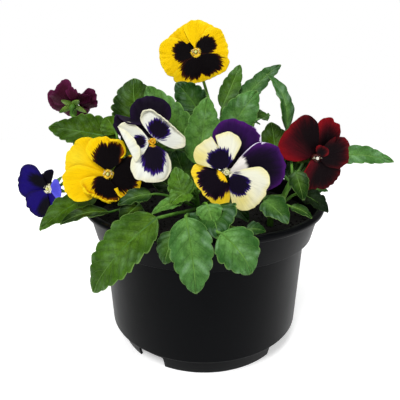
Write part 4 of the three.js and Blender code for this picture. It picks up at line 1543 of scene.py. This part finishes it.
BLOOMS = (
    Bloom(
        "bloom_yellow_top", (-6, 23, 203), (0.03, -1, 0.08), "middle", 0.75, (2, 28, 176),
        {"petals_yellow_top": (
            Petal(YELLOW, BACK, -30, 20.2, 33, Blotch((-1.4, 4.8), (5, 3.6))),
            Petal(YELLOW, UPPER, 17, 21.4, 25, Blotch((3, 5.5), (4.6, 4.4), 0.6, -1)),
            Petal(
                YELLOW, LATERAL, 162, 20.5, 42, Blotch((-1.2, 9.6), (15.6, 9), 0.9, 0.5), eye=3.4, claw=0.8,
            ),
            Petal(YELLOW, LIP, -103, 26, 27, Blotch((2.4, 7.8), (7.6, 8)), eye=3.2, claw=0.8),
            Petal(YELLOW, LIP, 74, 23, 26, Blotch((-2.6, 8), (6, 7.8)), eye=3.2, claw=0.8),
        )},
    ),
    Bloom(
        "bloom_burgundy", (-94, 13, 167.5), (-0.1, 0.8, 0.6), "left", 0.9, (-84, -2, 156),
        {"petals_burgundy_left": (
            Petal(BURGUNDY, BACK, -34, 13, 19, cup=1.5, frill=0.7),
            Petal(BURGUNDY, UPPER, 48, 16, 24, cup=1.5, frill=0.3),
            Petal(BURGUNDY, LIP, 178, 15, 21, cup=1.5, frill=0.7),
            Petal(BURGUNDY, LATERAL, -95, 17, 19, cup=1.5, frill=0.7),
            Petal(BURGUNDY, LATERAL, 108, 17.5, 22, cup=1.5, frill=0.4),
        )},
        DARK_THROAT, sepal_half=2.2,
    ),
    Bloom(
        "bloom_yellow_left", (-60, -37, 129), (0.1, -1, 0.15), "left", 0.45, (-60, -24, 124),
        {"petals_yellow_left": (
            Petal(YELLOW, BACK, -57, 27.6, 28, wash=(-2, 22)),
            Petal(YELLOW, UPPER, -108, 28.8, 23),
            Petal(
                YELLOW, LIP, 106, 21, 31, Blotch((-2.4, 9), (12.4, 10.6)), eye=3.2, claw=0.8,
                rolls=(Roll(3.4, 90, 60, 0.8, 2.9),),
            ),
            Petal(
                YELLOW, LATERAL, 2, 23, 26, Blotch((1.4, 9.6), (10, 10)), eye=2.8,
                rolls=(Roll(2.8, 60, 60, 0.9, 2.8),),
            ),
            Petal(
                YELLOW, LATERAL, -152, 18.4, 26, Blotch((-3.4, 7.4), (9.4, 7.2)), eye=2.8, claw=0.6,
                rolls=(Roll(3.4, 0, 80, 1.0, 2.9),),
            ),
        )},
    ),
    Bloom(
        "bloom_white", (-31, -45, 150.4), (0.15, -1, 0.15), "back_left", 0.9, (-31, -28, 146),
        {
            "petals_night": (
                Petal(NIGHT, BACK, -46, 26, 21, lean=-0.12, folds=(Fold((3, 14), 60, 120, 1.0),)),
                Petal(NIGHT, UPPER, -1, 26, 24.5, lean=-0.12),
            ),
            "petals_white": (
                Petal(
                    WHITE, LIP, -175, 23.6, 24, Blotch((-1, 9.4), (7, 9.4)), 0.22, claw=1.0,
                    rolls=(Roll(1.6, -80, 50),),
                ),
                Petal(
                    WHITE, LATERAL, 41, 15.4, 32, Blotch((-1.6, 7.8), (6.8, 5.6)), 0.12, eye=2.2, claw=1.0,
                    rolls=(Roll(2.2, -15, 85),),
                ),
                Petal(
                    WHITE, LATERAL, -92, 22, 24, Blotch((0.3, 7.6), (4, 4)), eye=2.6, claw=0.6,
                    folds=(Fold((0, 14.1), -22, 150, 1.0),),
                ),
            ),
        },
        PlantSkin("throat_orange", "dc9a08", "f4c81c"), 0.75,
        PlantSkin("style_orange", "d89c10", "f0bc24"), 5,
    ),
    Bloom(
        "bloom_three_coloured", (12, -58, 135), (0.05, -1, 0.15), "front", 0.85, (8, -46, 127),
        {
            "petals_purple": (
                Petal(
                    PURPLE, UPPER, 83, 34.5, 28, Blotch((1, 19), (10.5, 11.5)), -0.1, eye=12, hem=(-44, 16),
                ),
                Petal(PURPLE, BACK, 20, 30, 29, Blotch((-2, 12), (9, 10)), -0.12, eye=2, hem=(28, 14)),
            ),
            "petal_yellow_lip": (
                Petal(YELLOW_LIP, LIP, -129, 18, 30, Blotch((0.4, 9), (10.2, 7.8)), eye=5, claw=0.7),
            ),
            "petals_cream": (
                Petal(
                    CREAM, LATERAL, -23, 22, 28, Blotch((-1, 8), (6.6, 6.8)), 0.08, eye=2.4, slit=0.08,
                    wash=(-10.4, 13.8),
                ),
                Petal(
                    CREAM, LATERAL, 125, 25, 27, Blotch((2.2, 8.8), (6.4, 6.8)), 0.08, eye=2.8,
                    wash=(8.4, 15.6),
                ),
            ),
        },
        PALE_THROAT, 0.65, PlantSkin("style_pale", "d4d8a0", "eef0c8"), 8,
    ),
    Bloom(
        "bloom_red", (71.5, -22, 136), (0.35, -1, 0.1), "right", 0.9, (66, -16, 130),
        {"petals_red_right": (
            Petal(
                RED, BACK, 30, 28, 18, Blotch((4.4, 11), (7, 10.6)), claw=0.9,
                folds=(Fold((0, 18), 60, 50, 3),),
            ),
            Petal(RED, UPPER, -42, 29, 33, Blotch((9, 10), (11, 15)), claw=0.7),
            Petal(RED, LIP, 140, 22.5, 23, Blotch((0.6, 10), (11.6, 12)), claw=0.8),
            Petal(RED, LATERAL, 80, 26, 21, Blotch((0, 10), (10, 13)), claw=0.8),
            Petal(
                RED, LATERAL, -152, 23, 20, Blotch((-7, 8), (5.4, 11)), claw=1.0,
                folds=(Fold((3, 9), 98, 65, 2.5),),
            ),
            Petal(RED, LATERAL, 32, 8.4, 10.4, Blotch((0, 4), (3.6, 3.6)), 0.35, claw=0.9),
        )},
        DARK_THROAT, style=PlantSkin("style_white", "e2e4d0", "f6f6ea"), hairs=4,
    ),
    Bloom(
        "bloom_blue", (-109, -6, 111), (-0.3, -1, 0.1), "left", 0.25, (-94, 4, 118),
        {"petals_blue_left": (
            Petal(BLUE, BACK, -44, 11.6, 21, Blotch((3.4, 6), (8, 6.5))),
            Petal(BLUE, UPPER, -78, 27, 26, Blotch((2.8, 9), (4.8, 9.6))),
            Petal(BLUE, LIP, 178, 15, 17),
            Petal(BLUE, LATERAL, -143, 23, 22, Blotch((-6, 12), (5, 9))),
            Petal(PALE_BLUE, LATERAL, 85, 11, 14),
        )},
        PALE_THROAT, 0.75, hairs=4,
    ),
)


@dataclass
class LeafyStem:
    """A leafy stem: a round stem that climbs out of the soil, its leaves, and the stalks of its blooms."""

    name: str
    radius: float = 2.2
    root_depth: float = 14
    foot_gap: float = 1
    collar: float = 4
    leaf_thick: float = 0.5
    stalk_radius: float = 1.0
    stalk_bend: float = 0.25
    stalk_rise: float = 1.5
    stalk_steps: int = 10
    rib_steps: int = 12
    least_rib: float = 0.12

    def __post_init__(self) -> None:
        """Works out the stem's line."""
        (x, y), *rest = ROUTES[self.name]
        self.foot = Vector((x, y, SOIL_Z - self.root_depth + self.foot_gap))
        self.line = smooth_line([Vector((x, y, SOIL_Z + self.collar)), *map(Vector, rest)], 12)
        self.node = "leafy_stem_" + self.name

    def leaf_stalk(self, leaf: Leaf, blade: Blade) -> tuple[list[Vector], list[float]]:
        """Gives the line and radii of a leaf's stalk, which goes on under the blade as its midrib.

        Args:
            leaf: the leaf.
            blade: its blade.

        Returns:
            The stalk's points and its radius at each.
        """
        start, end = along_line(self.line, leaf.at), blade.base
        bend = end - blade.along * self.stalk_bend * (end - start).length
        bend.z = min(bend.z, max(start.z, end.z) + self.stalk_rise)
        thick = self.stalk_radius * (0.55 + 0.45 * blade.size)
        points, radii = [], []
        for k in range(self.stalk_steps + 1):
            t = k / self.stalk_steps
            points.append(start * (1 - t) ** 2 + bend * 2 * t * (1 - t) + end * t * t - blade.out * 0.3 * t)
            radii.append(thick * (1.15 - 0.25 * t))
        for k in range(1, self.rib_steps):
            t = k / self.rib_steps
            points.append(blade.middle(t) - blade.out * (0.45 - 0.1 * t))
            radii.append(max(self.least_rib, thick * 0.8 * (1 - t) ** 0.8))
        return points, radii

    def build(self) -> None:
        """Builds the stem, its leaves and its blooms' green parts, and dresses them."""
        foliage = Sculpture("leaves_" + self.name, ("blade", "form", "tones"))
        greens = Sculpture("stems_" + self.name)
        line = [self.foot, *self.line]
        greens.tube(line, [self.radius * (1.02 - 0.35 * k / len(line)) for k in range(len(line))], 16)
        for number, leaf in enumerate(LEAVES[self.name]):
            blade = Blade(leaf, number * 31 + len(self.name) * 7)
            blade.build(foliage)
            greens.tube(*self.leaf_stalk(leaf, blade), 8)
        for bloom in BLOOMS:
            if bloom.stem == self.name:
                stalk = bloom.stalk_line(self.line)
                greens.tube(stalk, [bloom.stalk_radius] * len(stalk), 10)
                bloom.build_calyx(greens)
        foliage.finish("leaf_green", [self.node], [LEAF_TOP, LEAF_BACK], self.leaf_thick)
        greens.finish("leaf_green", [self.node], [GREEN_SKIN])


@dataclass
class Studio:
    """The pale floor, and the soft lights and the camera, placed in metres at the photograph's angle."""

    camera_at: Point = (-0.0029, -0.2807, 0.1876)
    camera_down_deg: float = 17.3
    lens: float = 36
    sensor: float = 36
    clip_start: float = 0.01
    lit: Point = (0, 0, 0.12)
    floor_half: float = 900
    world: str = "ffffff"
    world_seen: float = 1.0
    world_light: float = 0.3

    def build(self) -> None:
        """Sets up the floor, the lights and the camera."""
        bpy.context.scene.view_settings.view_transform = "Standard"
        self.lay_floor()
        self.light("key", (-0.25, -0.75, 1.0), 0.35, 10)
        self.light("fill", (0.9, -0.5, 0.5), 0.5, 1.5)
        self.light("top", (0.1, 0.35, 1.2), 0.8, 7)
        self.hang_world()
        self.set_camera()

    def set_camera(self) -> None:
        """Sets the camera at the photograph's angle."""
        data = bpy.data.cameras.new("camera")
        data.lens = self.lens
        data.sensor_width = self.sensor
        data.clip_start = self.clip_start
        camera = hang("camera", data)
        camera.location = self.camera_at
        camera.rotation_euler = (math.radians(90 - self.camera_down_deg), 0, 0)
        bpy.context.scene.camera = camera

    def hang_world(self) -> None:
        """Sets a white surround that gives less light than it shows."""
        world = bpy.data.worlds.new("studio")
        world.use_nodes = True
        tree = world.node_tree
        background = tree.nodes["Background"]
        background.inputs[0].default_value = linear(self.world)
        path = tree.nodes.new("ShaderNodeLightPath")
        strength = tree.nodes.new("ShaderNodeMapRange")
        strength.inputs["To Min"].default_value = self.world_light
        strength.inputs["To Max"].default_value = self.world_seen
        tree.links.new(path.outputs["Is Camera Ray"], strength.inputs["Value"])
        tree.links.new(strength.outputs["Result"], background.inputs[1])
        bpy.context.scene.world = world

    def lay_floor(self) -> None:
        """Lays the floor, with its pale material."""
        plane = bmesh.new()
        bmesh.ops.create_grid(plane, x_segments=2, y_segments=2, size=self.floor_half)
        floor = hang("floor", settle("floor", plane))
        sketch = Sketch("pale_floor")
        white = sketch.mix(sketch.noise(sketch.place(), 3), "f4f4f4", "f7f7f7")
        sketch.set(Base_Color=white, Roughness=0.9, Specular_IOR_Level=0.1)
        sketch.set(Emission_Color=white, Emission_Strength=0.5)
        floor.data.materials.append(sketch.material)

    def light(self, name: str, at: Point, size: float, power: float) -> None:
        """Hangs a square soft light that points at the planter.

        Args:
            name: the light's name.
            at: its place.
            size: the length of its side.
            power: its power, in watts.
        """
        data = bpy.data.lights.new(name, "AREA")
        data.size = size
        data.energy = power
        lamp = hang(name, data)
        lamp.location = at
        lamp.rotation_euler = (Vector(self.lit) - Vector(at)).to_track_quat("-Z", "Y").to_euler()


def main() -> None:
    """Builds the planter around its solid frame, piece by piece."""
    logging.basicConfig(level=logging.INFO, format="%(name)s: %(message)s", force=True)
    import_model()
    Studio().build()
    pot = Pot()
    pot.build()
    Soil().build(pot)
    for name in ROUTES:
        LeafyStem(name).build()
    for bloom in BLOOMS:
        bloom.build()


if __name__ == "__main__":
    main()
